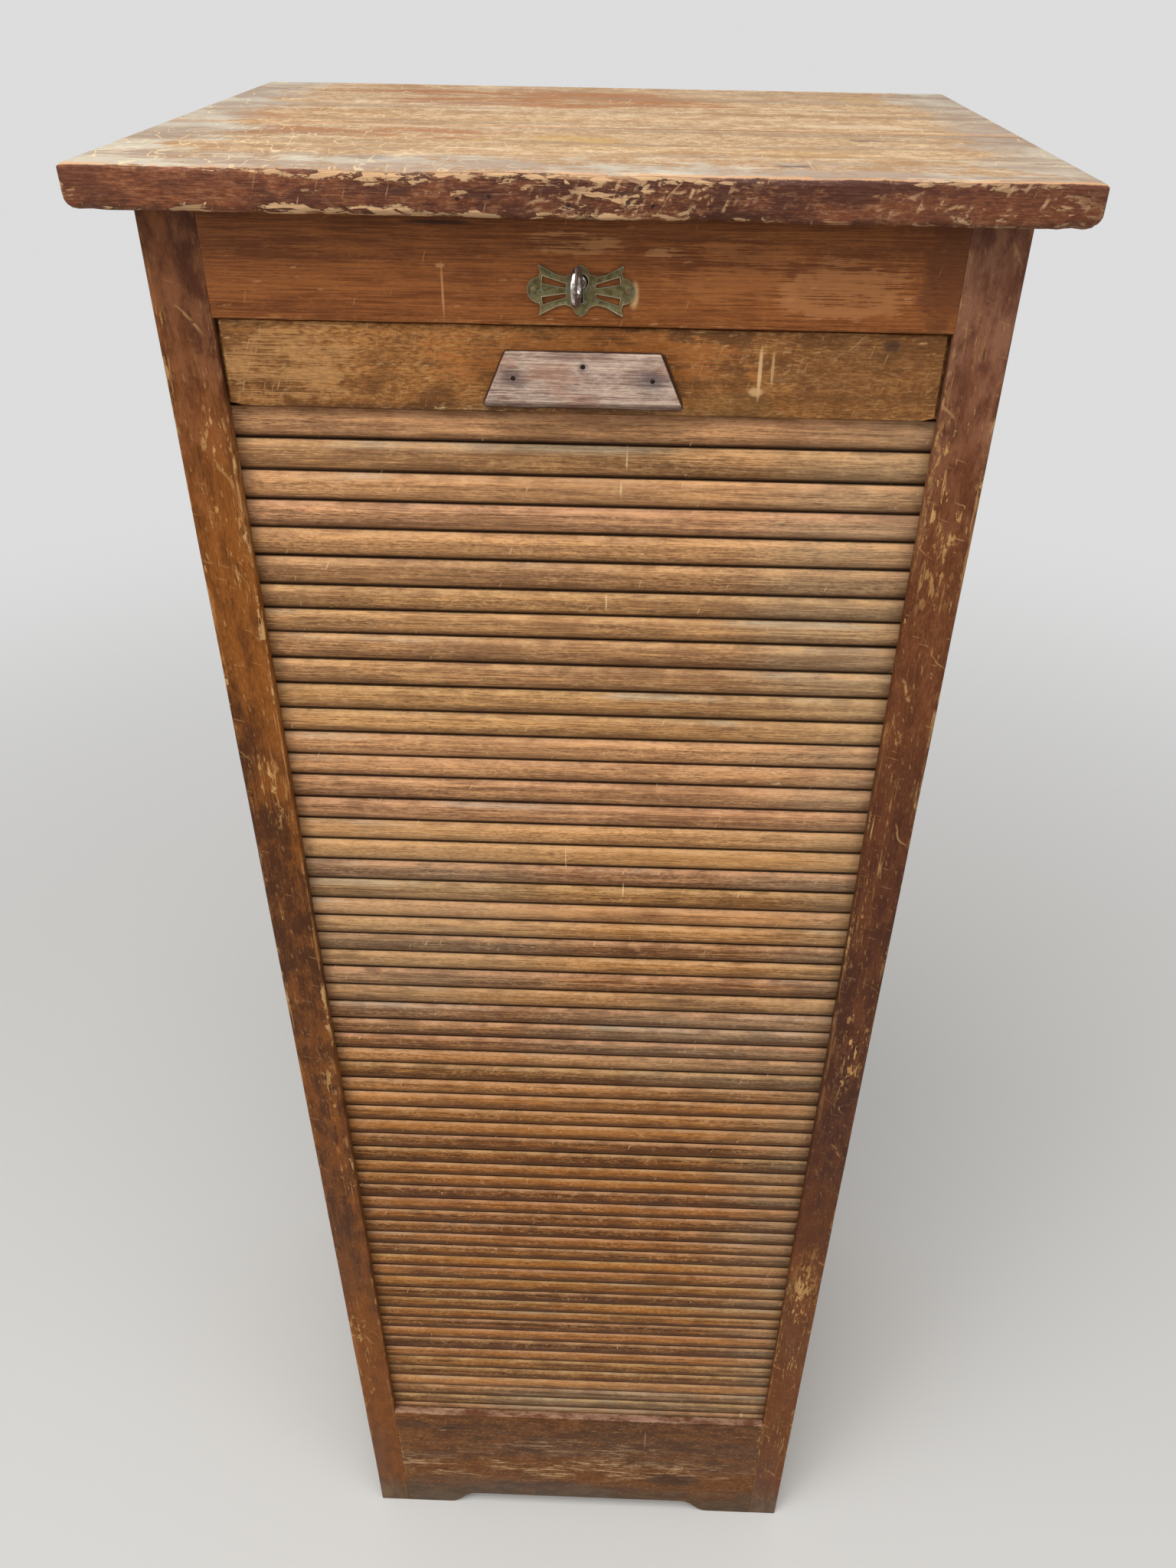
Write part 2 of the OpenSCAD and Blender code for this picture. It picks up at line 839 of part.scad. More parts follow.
// the escutcheon: a boss over the keyhole and a pierced wing at each side
module escutcheon() {
    last = len(wing) - 1;
    outline = concat(
        [for (p = wing) p],
        [for (i = [last:-1:0]) [wing[i][0], -wing[i][1]]],
        [for (p = wing) [-p[0], -p[1]]],
        [for (i = [last:-1:0]) [-wing[i][0], wing[i][1]]]
    );
    color("olive") placed() difference() {
        union() {
            along_y(-plate_t, 0) translate([0, plate_z]) polygon(outline);
            for (x = [-lobe_x, lobe_x]) rod_y(x, plate_z, lobe_r, -plate_t, 0);
        }
        along_y(-plate_t - over, over) translate([0, plate_z]) for (sx = [0, 1], sz = [0, 1])
            mirror([sx, 0, 0]) mirror([0, sz, 0]) polygon(window);
        keyhole(-plate_t - over, over);
        escutcheon_pin_set(pin_r);
    }
}

module escutcheon_pins() {
    color("darkolivegreen") placed() escutcheon_pin_set(pin_r);
}

// the lock's case is open at the back; its floor lets the staple in, a stud guides the bolt
module lock_case() {
    inner = case_w - case_wall;
    room = staple_play / 2;
    color("slategray") placed() {
        difference() {
            span([-case_w, lock_face, lock_z], [case_w, cap_y, case_top]);
            span([-inner, case_in_y, lock_z + case_wall], [inner, cap_y + over, case_top - case_wall]);
            keyhole(lock_face - over, case_in_y + over);
            span([staple_x - staple_t / 2 - room, staple_y - room, lock_z - over],
                 [staple_x + staple_t / 2 + room, staple_y + staple_d + room, lock_z + case_wall + over]);
        }
        rod_y(guide_x, key_z, guide_r, case_in_y - case_wall / 2, cap_y - guide_slack);
    }
}

module lock_cap() {
    color("gray") placed() difference() {
        span([-cap_x, cap_y, lock_z], [cap_x, lock_t, case_top]);
        rod_y(0, key_z, shank_r + shank_play, cap_y - over, lock_t + over);
        lock_screw_set();
    }
}

// the bolt: a bar over the key, a leg beside it and a finger under it that enters the staple
module lock_bolt() {
    color("lightsteelblue") placed() along_y(bolt_y, bolt_y + bolt_t) difference() {
        union() {
            translate([bolt_left, finger_z]) square([leg_w, bar_z + bar_h - finger_z]);
            translate([bolt_left, finger_z]) square([finger_tip - bolt_left, finger_h]);
            translate([bolt_left, bar_z]) square([bar_right - bolt_left, bar_h]);
        }
        translate([-throw / 2 - notch_w / 2, bar_z - over]) square([notch_w, notch_h + over]);
        translate([guide_x - throw - guide_r - guide_slack, key_z - guide_r - guide_slack])
            square([throw + 2 * (guide_r + guide_slack), 2 * (guide_r + guide_slack)]);
    }
}

// a leaf spring between the bolt and the top of the case, thin and bowed
module lock_spring() {
    top = case_top - case_wall;
    upper = [[-spring_w / 2, top], [0, top - spring_bow], [spring_w / 2, top]];
    lower = [for (i = [2:-1:0]) [upper[i][0], upper[i][1] - leaf_t]];
    color("silver") placed() along_y(bolt_y, bolt_y + bolt_t) polygon(concat(upper, lower));
}

module lock_screws() {
    color("dimgray") placed() lock_screw_set();
}

// the key: a ring, a shank and a bit that points down at rest
module key() {
    bit = [bit_t / 2, bolt_y + bolt_t + bit_side, key_z];
    color("silver") placed() {
        translate([0, ring_y, key_z]) rotate([0, 90, 0])
            rotate_extrude() translate([ring_r - wire_r, 0]) circle(r = wire_r);
        rod_y(0, key_z, shank_r, ring_y + ring_r - wire_r, shank_end);
        rod_y(0, key_z, collar_r, collar_y[0], collar_y[1]);
        span([-bit_t / 2, bolt_y - bit_side, key_z - bit_reach], bit);
    }
}

top_front_plank();
top_rear_plank();
top_battens();
top_screws();
left_front_post();
right_front_post();
left_back_post();
right_back_post();
left_top_rail();
left_middle_rail();
left_bottom_rail();
right_top_rail();
right_middle_rail();
right_bottom_rail();
left_upper_panel();
left_lower_panel();
right_upper_panel();
right_lower_panel();
left_lining();
right_lining();
left_cleats();
right_cleats();
lock_rail();
plinth();
plinth_block();
back_rail();
back_block();
back_panel();
inner_back();
bottom_board();
floor_board();
tambour_slats();
tambour_canvas();
lead_rail();
handle();
handle_nails();
link_plate();
link_screws();
escutcheon();
escutcheon_pins();
lock_case();
lock_cap();
lock_bolt();
lock_spring();
lock_screws();
key();
for (i = [1:shelf_count]) {
    shelf(i);
}
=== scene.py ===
import math

import bmesh
import bpy
import numpy as np
from mathutils import Matrix, Vector


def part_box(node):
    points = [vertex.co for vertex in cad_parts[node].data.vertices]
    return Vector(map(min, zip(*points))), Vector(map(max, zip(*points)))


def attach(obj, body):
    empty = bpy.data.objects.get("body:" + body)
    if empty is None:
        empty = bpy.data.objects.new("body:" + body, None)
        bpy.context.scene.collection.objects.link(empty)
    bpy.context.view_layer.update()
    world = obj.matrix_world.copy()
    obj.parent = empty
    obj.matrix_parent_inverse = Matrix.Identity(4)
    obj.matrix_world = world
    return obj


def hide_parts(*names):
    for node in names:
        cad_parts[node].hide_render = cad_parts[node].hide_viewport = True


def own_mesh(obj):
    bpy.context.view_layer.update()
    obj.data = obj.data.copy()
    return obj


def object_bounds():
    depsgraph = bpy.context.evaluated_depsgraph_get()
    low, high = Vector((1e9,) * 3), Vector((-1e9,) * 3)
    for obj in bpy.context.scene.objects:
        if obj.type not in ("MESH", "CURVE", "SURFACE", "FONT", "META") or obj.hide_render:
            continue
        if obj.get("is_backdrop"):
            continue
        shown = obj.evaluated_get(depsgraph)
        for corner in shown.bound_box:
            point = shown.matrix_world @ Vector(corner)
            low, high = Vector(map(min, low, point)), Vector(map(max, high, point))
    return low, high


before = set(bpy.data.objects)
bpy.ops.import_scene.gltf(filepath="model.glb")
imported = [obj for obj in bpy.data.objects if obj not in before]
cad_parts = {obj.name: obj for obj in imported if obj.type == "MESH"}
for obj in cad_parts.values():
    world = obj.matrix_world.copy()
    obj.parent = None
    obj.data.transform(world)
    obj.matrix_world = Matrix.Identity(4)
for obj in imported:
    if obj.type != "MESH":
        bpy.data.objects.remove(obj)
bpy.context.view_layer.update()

# The view. A person stands close in front of the cabinet, holds the camera at eye height over the
# front edge of the top and looks steeply down, which draws the feet together.
eye = Vector((0.0302, -0.8325, 1.4157))
turned_left = math.radians(1.2288)
looks_down = math.radians(36.4837)
leans = math.radians(0.9708)
lens = bpy.data.cameras.new("camera")
lens.sensor_width = 36
lens.lens = 28.08
lens.shift_x, lens.shift_y = -0.0100, 0.0361
lens.clip_start, lens.clip_end = 0.05, 50
camera = bpy.data.objects.new("camera", lens)
level = Matrix.Rotation(turned_left, 4, "Z") @ Matrix.Rotation(math.pi / 2 - looks_down, 4, "X")
camera.matrix_world = Matrix.Translation(eye) @ level @ Matrix.Rotation(leans, 4, "Z")
bpy.context.scene.collection.objects.link(camera)
bpy.context.scene.camera = camera
bpy.context.scene.view_settings.view_transform = "Standard"


# The studio. A plain pale floor, an even pale room and three large soft lamps, the strongest of
# them above and in front, so that the round of each slat is lit from above.
def tone(red, green, blue):
    """A judged colour, 0 to 255 a channel, as the renderer takes it."""
    shares = [channel / 255 for channel in (red, green, blue)]
    return [((share + 0.055) / 1.055) ** 2.4 if share > 0.04 else share / 12.92 for share in shares] + [1.0]


def worked(operation):
    """Two methods that add a math node, for a value before and after an operator."""
    return (lambda value, other: value.graph.math(operation, value, other),
            lambda value, other: value.graph.math(operation, other, value))


class Value:
    """What a node puts out. The operators + - * and / add the math node that works it out."""

    def __init__(self, graph, socket):
        self.graph, self.socket = graph, socket

    __add__, __radd__ = worked("ADD")
    __sub__, __rsub__ = worked("SUBTRACT")
    __mul__, __rmul__ = worked("MULTIPLY")
    __truediv__, __rtruediv__ = worked("DIVIDE")


class Graph:
    """The nodes of one tree. An input takes a number, a colour, a vector or another node's value."""

    def __init__(self, tree):
        self.tree = tree

    def ends(self):
        """What the tree takes, by name, and the sockets for what it gives."""
        taken = self.tree.nodes.new("NodeGroupInput").outputs
        given = self.tree.nodes.new("NodeGroupOutput").inputs
        return {socket.name: Value(self, socket) for socket in taken if socket.name}, given

    def feed(self, socket, value):
        if isinstance(value, Value):
            self.tree.links.new(value.socket, socket)
        else:
            socket.default_value = value

    def add(self, kind, feeds, out=0, **settings):
        """A new node's value, or its values where out is a tuple, or all of them where it is None."""
        node = self.tree.nodes.new(kind)
        for name, value in settings.items():
            setattr(node, name, value)
        for key, value in feeds.items():
            self.feed(node.inputs[key], value)
        if out is None:
            return [Value(self, socket) for socket in node.outputs]
        if isinstance(out, tuple):
            return [Value(self, node.outputs[key]) for key in out]
        return Value(self, node.outputs[out])

    def math(self, operation, a, b=0.0, c=0.0):
        return self.add("ShaderNodeMath", {0: a, 1: b, 2: c}, operation=operation)

    def scaled(self, value, factor, start):
        """The value times the factor, plus the start."""
        return self.math("MULTIPLY_ADD", value, factor, start)

    def either(self, a, b):
        return self.math("MAXIMUM", a, b)

    def vector(self, operation, a, b=(0, 0, 0), out=0):
        return self.add("ShaderNodeVectorMath", {0: a, 1: b}, out, operation=operation)

    def parts(self, value):
        return self.add("ShaderNodeSeparateXYZ", {0: value}, None)

    def join(self, x, y, z):
        return self.add("ShaderNodeCombineXYZ", {0: x, 1: y, 2: z})

    def rise(self, value, low, high):
        """0 below low, 1 above high and a smooth rise between."""
        return self.add("ShaderNodeMapRange", {0: value, 1: low, 2: high}, interpolation_type="SMOOTHSTEP")

    def mix(self, share, a, b):
        return self.add("ShaderNodeMix", {0: share, 6: a, 7: b}, 2, data_type="RGBA")

    def noise(self, point, stretch, detail=2.0, rough=0.5, out=0):
        scaled = self.vector("MULTIPLY", point, stretch)
        feeds = {"Vector": scaled, "Scale": 1.0, "Detail": detail, "Roughness": rough}
        return self.add("ShaderNodeTexNoise", feeds, out)

    def group(self, name, **feeds):
        return self.add("ShaderNodeGroup", feeds, None, node_tree=bpy.data.node_groups[name])


floor_corners = [(-12, -12, 0), (12, -12, 0), (12, 12, 0), (-12, 12, 0)]
floor_mesh = bpy.data.meshes.new("floor")
floor_mesh.from_pydata(floor_corners, [], [(0, 1, 2, 3)])
floor = bpy.data.objects.new("floor", floor_mesh)
bpy.context.scene.collection.objects.link(floor)
floor_paint = bpy.data.materials.new("floor_paint")
floor_paint.use_nodes = True
floor_paint.node_tree.nodes.clear()
room_seen = 0.72
g = Graph(floor_paint.node_tree)
painted = g.add("ShaderNodeBsdfPrincipled", {"Base Color": tone(232, 231, 228), "Roughness": 0.9})
fade = g.rise(g.vector("LENGTH", g.add("ShaderNodeTexCoord", {}, "Object"), out=1), 0.5, 3.0)
glow = g.add("ShaderNodeEmission", {"Color": (1, 1, 1, 1), "Strength": room_seen})
far_off = fade * g.add("ShaderNodeLightPath", {}, "Is Camera Ray")
blend = g.add("ShaderNodeMixShader", {0: far_off, 1: painted, 2: glow})
g.add("ShaderNodeOutputMaterial", {"Surface": blend}, None)
floor_mesh.materials.append(floor_paint)
floor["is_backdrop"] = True

room_light = 0.36
world = bpy.data.worlds.new("room")
bpy.context.scene.world = world
world.use_nodes = True
world.node_tree.nodes.clear()
g = Graph(world.node_tree)
plain = g.add("ShaderNodeBackground", {"Color": (1.0, 0.99, 0.97, 1), "Strength": room_light})
seen = g.add("ShaderNodeBackground", {"Color": (1, 1, 1, 1), "Strength": room_seen})
rays = g.add("ShaderNodeLightPath", {}, ("Is Camera Ray", "Is Glossy Ray"))
blend = g.add("ShaderNodeMixShader", {0: g.either(*rays), 1: plain, 2: seen})
g.add("ShaderNodeOutputWorld", {"Surface": blend}, None)

lamps = {"above": ((-0.25, -1.0, 3.0), 1.5, 44), "left": ((-1.9, -1.7, 1.9), 1.4, 12),
         "right": ((2.0, -1.5, 1.6), 1.4, 8)}
aim = Vector((0, 0, 0.75))
for name, (place, side, power) in lamps.items():
    lamp = bpy.data.lights.new(name, "AREA")
    lamp.size, lamp.energy = side, power
    holder = bpy.data.objects.new(name, lamp)
    holder.location = place
    holder.rotation_euler = (aim - Vector(place)).to_track_quat("-Z", "Y").to_euler()
    bpy.context.scene.collection.objects.link(holder)


# The front posts. Each is one length of pine, planed square, stained red-brown and varnished. It
# runs from the floor to the top, and a groove for the curtain is ploughed down its inner face.
def effect(name, takes, gives):
    """A new shader group: its graph, what it takes and what it gives."""
    tree = bpy.data.node_groups.new(name, "ShaderNodeTree")
    for label, value in takes.items():
        kind = "NodeSocketVector" if isinstance(value, tuple) else "NodeSocketFloat"
        tree.interface.new_socket(label, in_out="INPUT", socket_type=kind).default_value = value
    for label in gives:
        tree.interface.new_socket(label, in_out="OUTPUT", socket_type="NodeSocketFloat")
    graph = Graph(tree)
    return graph, *graph.ends()


# grain of a pine board that runs along X: growth rings round a pith beside the board, fibres, resin
# flecks, and slow and quick changes of colour, each from 0 to 1
g, take, give = effect("pine", {"Point": (0, 0, 0), "Seed": 0.0, "Ring": 0.0045, "Waver": 0.014,
                                "Pith": (0, 0.05, -0.03)},
                       ["Rings", "Fibre", "Flecks", "Cloud", "Mottle", "Grit"])
point = g.vector("ADD", take["Point"], g.join(take["Seed"] * 3.71, take["Seed"] * 0.77, 0.0))
sway = g.vector("SUBTRACT", g.noise(point, (2.4, 9, 9), 2.0, out=1), (0.5, 0.5, 0.5))
sway = g.vector("MULTIPLY", sway, g.join(0.0, take["Waver"], take["Waver"]))
arm = g.vector("SUBTRACT", g.vector("ADD", take["Point"], sway), take["Pith"])
radius = g.vector("LENGTH", g.vector("MULTIPLY", arm, (0, 1, 1)), out=1)
turns = radius / take["Ring"] + g.noise(point, (9, 90, 90)) * 0.7
share = g.math("FRACT", turns)
g.feed(give["Rings"], g.rise(share, 0.35, 0.86) * g.rise(share, 1.0, 0.92))
fine = g.noise(point, (32, 1400, 1400), 3.0, 0.65)
fibre = g.scaled(fine, 0.66, g.noise(point, (8, 260, 260), 2.0, 0.6) * 0.34)
g.feed(give["Fibre"], g.rise(fibre, 0.38, 0.62))
g.feed(give["Grit"], g.rise(g.noise(point, (240, 950, 950), 3.0, 0.7), 0.38, 0.62))
flecks = g.rise(g.noise(point, (130, 2100, 2100), 1.0), 0.60, 0.68)
g.feed(give["Flecks"], flecks * g.rise(g.noise(point, (7, 50, 50), 2.0), 0.46, 0.60))
g.feed(give["Cloud"], g.rise(g.noise(point, (3.4, 17, 17), 4.0, 0.55), 0.36, 0.64))
g.feed(give["Mottle"], g.rise(g.noise(point, (44, 100, 100), 6.0, 0.70), 0.38, 0.62))

# distance of a point to the second nearest of a board's faces, which is its distance to an arris
g, take, give = effect("arris", {"Point": (0, 0, 0), "Half": (1, 1, 1)}, ["Distance"])
x, y, z = g.parts(g.vector("SUBTRACT", take["Half"], g.vector("ABSOLUTE", take["Point"])))
less = g.math("MINIMUM", x, y)
g.feed(give["Distance"], g.either(less, g.math("MINIMUM", g.either(x, y), z)))

# thin scratches: one in each cell of a field of long cells, which lie askew to all of a board's faces
g, take, give = effect("scratches", {"Point": (0, 0, 0), "Seed": 0.0, "Turn": (0.8, 0, 0), "Spacing": 0.012,
                                     "Length": 0.06, "Width": 0.0004, "Bend": 0.0, "Share": 0.4}, ["Mask"])
point = g.vector("ADD", take["Point"], g.join(take["Seed"] * 1.7, take["Seed"] * 0.9, take["Seed"]))
bend = g.vector("SUBTRACT", g.noise(point, (21, 21, 21), 2.0, out=1), (0.5, 0.5, 0.5))
point = g.vector("ADD", point, g.vector("MULTIPLY", bend, g.join(take["Bend"], take["Bend"], take["Bend"])))
askew = {"Vector": point, "Rotation": take["Turn"]}
point = g.add("ShaderNodeVectorRotate", askew, rotation_type="EULER_XYZ")
cells = g.vector("DIVIDE", point, g.join(take["Length"], take["Length"], take["Spacing"]))
cells_of = {"Vector": cells, "Scale": 1.0}
cell_colour, cell_middle = g.add("ShaderNodeTexVoronoi", cells_of, ("Color", "Position"))
from_middle = g.vector("SUBTRACT", cells, cell_middle)
off_line = g.math("ABSOLUTE", g.parts(from_middle)[2]) * take["Spacing"]
along_line = g.vector("LENGTH", g.vector("MULTIPLY", from_middle, (1, 1, 0)), out=1)
pick = g.parts(cell_colour)
line = g.rise(off_line / take["Width"], 1.0, 0.5) * g.rise(along_line, 0.45, 0.2)
line = line * g.math("LESS_THAN", pick[0], take["Share"])
line = line * g.rise(g.noise(point, (330, 330, 330), 2.0), 0.34, 0.50)
g.feed(give["Mask"], line * g.scaled(pick[1], 0.5, 0.5))

# curling hair lines, which follow the level lines of a slow field and are broken into short arcs
g, take, give = effect("curls", {"Point": (0, 0, 0), "Seed": 0.0, "Stretch": (30, 14, 30), "Width": 0.008,
                                 "Gaps": 0.5}, ["Mask"])
point = g.vector("ADD", take["Point"], g.join(take["Seed"], take["Seed"] * 0.6, 0.0))
field = g.noise(point, take["Stretch"], 1.0)
line = g.rise(g.math("ABSOLUTE", field - 0.5), take["Width"], take["Width"] * 0.3)
g.feed(give["Mask"], line * g.rise(g.noise(point, (55, 55, 55), 3.0), take["Gaps"], take["Gaps"] + 0.06))

# chips: ragged patches with straight breaks where varnish has come off, in clusters and at an arris
g, take, give = effect("chips", {"Point": (0, 0, 0), "Seed": 0.0, "Distance": 1.0, "Reach": 0.004,
                                 "Size": 60.0, "Level": 0.68, "Pull": 0.12}, ["Mask"])
point = g.vector("ADD", take["Point"], g.join(take["Seed"], take["Seed"] * 2.3, 0.0))
size = g.join(take["Size"] * 0.36, take["Size"], take["Size"])
ragged = g.noise(point, size, 8.0, 0.78)
cluster = g.noise(point, g.vector("MULTIPLY", size, (0.2, 0.12, 0.12)), 1.0)
shift = g.vector("SUBTRACT", g.noise(point, size, 2.0, out=1), (0.5, 0.5, 0.5))
splits = g.vector("MULTIPLY", point, g.vector("MULTIPLY", size, (2.6, 3.4, 3.4)))
splits = g.vector("ADD", splits, g.vector("MULTIPLY", shift, (0.8, 0.8, 0.8)))
split = g.parts(g.add("ShaderNodeTexVoronoi", {"Vector": splits, "Scale": 1.0}, 1))[0]
near = g.rise(take["Distance"] / take["Reach"], 1.0, 0.0)
height = ragged + (split - 0.5) * 0.22
height = height + (cluster - 0.5) * 0.55
height = height + near * take["Pull"]
g.feed(give["Mask"], g.rise(height - take["Level"], 0.0, 0.014))

# one mark, such as a knot or a stain: an oval with a ragged or a soft rim
g, take, give = effect("mark", {"Point": (0, 0, 0), "Middle": (0, 0, 0), "Reach": (1, 1, 1), "Ragged": 0.3,
                                "Soft": 0.2, "Grain": 120.0}, ["Mask"])
from_middle = g.vector("DIVIDE", g.vector("SUBTRACT", take["Point"], take["Middle"]), take["Reach"])
rough_rim = g.noise(take["Point"], g.join(take["Grain"], take["Grain"], take["Grain"]), 3.0)
distance = g.vector("LENGTH", from_middle, out=1) + (rough_rim - 0.5) * take["Ragged"]
soft = take["Soft"]
g.feed(give["Mask"], g.rise(distance, 1.0 + soft, 1.0 - soft))

QUARTER = math.pi / 2
GRAIN_TURNS = {"x": (0, 0, 0), "y": (0, 0, QUARTER), "z": (0, -QUARTER, 0)}
GRAIN_ORDER = {"x": (0, 1, 2), "y": (1, 0, 2), "z": (2, 1, 0)}


def darker(colour, share):
    return [c * share for c in colour[:3]] + [1.0]


class Finish(Graph):
    """The material of one piece: its place in the cabinet, and its point with the grain along X."""

    def __init__(self, name, box, grain="x"):
        self.material = bpy.data.materials.new(name)
        self.material.use_nodes = True
        self.material.node_tree.nodes.clear()
        super().__init__(self.material.node_tree)
        middle, half = (box[0] + box[1]) / 2, (box[1] - box[0]) / 2
        self.place, self.facing = self.add("ShaderNodeTexCoord", {}, ("Object", "Normal"))
        turned = {"Vector": self.place, "Location": middle, "Rotation": GRAIN_TURNS[grain]}
        self.point = self.add("ShaderNodeMapping", turned, vector_type="TEXTURE")
        self.half = tuple(half[i] for i in GRAIN_ORDER[grain])
        self.edge = self.group("arris", Point=self.point, Half=self.half)[0]

    def grain(self, seed, ring=0.0045, pith=(0, 0.05, -0.03), point=None):
        """Lays the grain and keeps its parts for the colours that follow."""
        found = self.group("pine", Point=point or self.point, Seed=float(seed), Ring=ring, Pith=pith)
        self.rings, self.fibre, self.flecks, self.cloud, self.mottle, self.grit = found

    def gritty(self, colour, share, dark, pale):
        """Speckles a colour finely with a darker and a paler one."""
        low = self.rise(self.grit, 0.5, 0.0) * self.scaled(self.cloud, share, share * 0.3)
        colour = self.mix(low, colour, dark)
        high = self.rise(self.grit, 0.6, 1.0) * self.scaled(self.mottle, share, share * 0.2)
        return self.mix(high, colour, pale)

    def mark(self, middle, reach, ragged=0.3, soft=0.2, grain=120.0):
        """Where one mark lies, by its middle and reach in the cabinet."""
        return self.group("mark", Point=self.place, Middle=middle, Reach=reach, Ragged=ragged, Soft=soft,
                          Grain=grain)[0]

    def frayed(self, smooth):
        """Breaks up a smooth mask along the fibres, as wear does."""
        broken = self.fibre * 0.42 + self.mottle * 0.28
        return self.rise(smooth + broken, 0.76, 0.94)

    def scratched(self, seed, turn, spacing, length, width, bend, share):
        return self.group("scratches", Point=self.point, Seed=float(seed), Turn=turn, Spacing=spacing,
                          Length=length, Width=width, Bend=bend, Share=share)[0]

    def surface(self, colour, roughness, height, depth=0.0004, metallic=0.0, shine=0.25):
        """Joins the colour, roughness and height to the shader and gives the material."""
        bump = self.add("ShaderNodeBump", {"Height": height, "Distance": depth, "Strength": 0.8})
        feeds = {"Base Color": colour, "Roughness": roughness, "Normal": bump, "Metallic": metallic,
                 "Specular IOR Level": shine}
        shader = self.add("ShaderNodeBsdfPrincipled", feeds)
        self.add("ShaderNodeOutputMaterial", {"Surface": shader}, None)
        return self.material


def varnished(f, seed, deep, warm, bare, chipped=0.80, size=90.0, reach=0.004, pull=0.12, nicked=0.3,
              worn=0.3, ring=0.0045, pith=(0, 0.05, -0.03), lined=0.3, streaky=0.3, grit=0.3):
    """Colour, roughness and height of stained and varnished pine with its wear, for a Finish."""
    f.grain(seed, ring, pith)
    patchy = f.cloud * 0.55 + f.mottle * 0.45
    streak = patchy * (1 - streaky) + f.fibre * streaky
    colour = f.mix(f.rise(streak, 0.12, 0.88), deep, warm)
    colour = f.mix(f.rings * lined, colour, darker(deep, 0.6))
    colour = f.mix(f.flecks * 0.55, colour, darker(deep, 0.4))
    near = f.rise(f.edge, 0.0050, 0.0004)
    patch = f.rise(f.noise(f.point, (13, 42, 42), 4.0, 0.6), 0.48, 0.72)
    thin = f.frayed(patch * worn + near * 0.30)
    colour = f.mix(thin * 0.5, colour, f.mix(f.fibre, warm, bare))
    colour = f.gritty(colour, grit, darker(deep, 0.7), f.mix(0.4, warm, bare))
    chips = f.group("chips", Point=f.point, Seed=float(seed), Distance=f.edge, Reach=reach, Size=size,
                    Level=chipped, Pull=pull)[0]
    lines = f.scratched(seed, (0.8, 0.1, 0.5), 0.0065, 0.0065, 0.00042, 0.004, nicked * 0.8)
    short = f.scratched(seed + 5, (0.7, 1.2, 0.1), 0.008, 0.010, 0.00036, 0.006, nicked * 0.6)
    long = f.scratched(seed + 9, (-0.8, 0.5, 1.9), 0.034, 0.035, 0.00038, 0.03, nicked * 0.5)
    lines = f.either(f.either(lines, short), long)
    gone = f.either(chips, lines * 0.6)
    wood = f.mix(f.fibre, darker(bare, 0.66), bare)
    colour = f.mix(gone, colour, wood)
    roughness = f.scaled(f.either(gone, thin), 0.25, f.scaled(f.cloud, 0.22, 0.36))
    height = f.fibre * 0.3 - chips
    return colour, roughness, height


def dusty_foot(f, colour, top, dust, most=0.85):
    """Dust and dirt that thin out upwards from the floor."""
    up = f.parts(f.place)[2]
    drifted = f.scaled(f.noise(f.place, (38, 38, 60), 5.0, 0.65), 0.9 * top, up)
    cover = f.rise(drifted, 1.35 * top, 0.45 * top) * most
    cover = f.frayed(cover) * 0.4 + cover * 0.35
    return f.mix(cover, colour, f.mix(f.mottle, darker(dust, 0.6), dust))


def drift(places, seed, span):
    """A slow wander between about -1 and 1 along a row of places."""
    rng = np.random.default_rng(seed)
    waves = []
    for _ in range(4):
        length = span * rng.uniform(0.5, 1.6)
        waves.append(np.sin(math.tau * places / length + rng.uniform(0, math.tau)))
    return sum(waves) / 3


def round_in(distance, radius):
    """How far a rounded end draws in at a distance from its tip."""
    inside = np.clip(radius - distance, 0, radius)
    return radius - np.sqrt(np.maximum(radius**2 - inside**2, 0))


AXES = {"x": [0, 1, 2], "y": [2, 0, 1], "z": [1, 2, 0]}


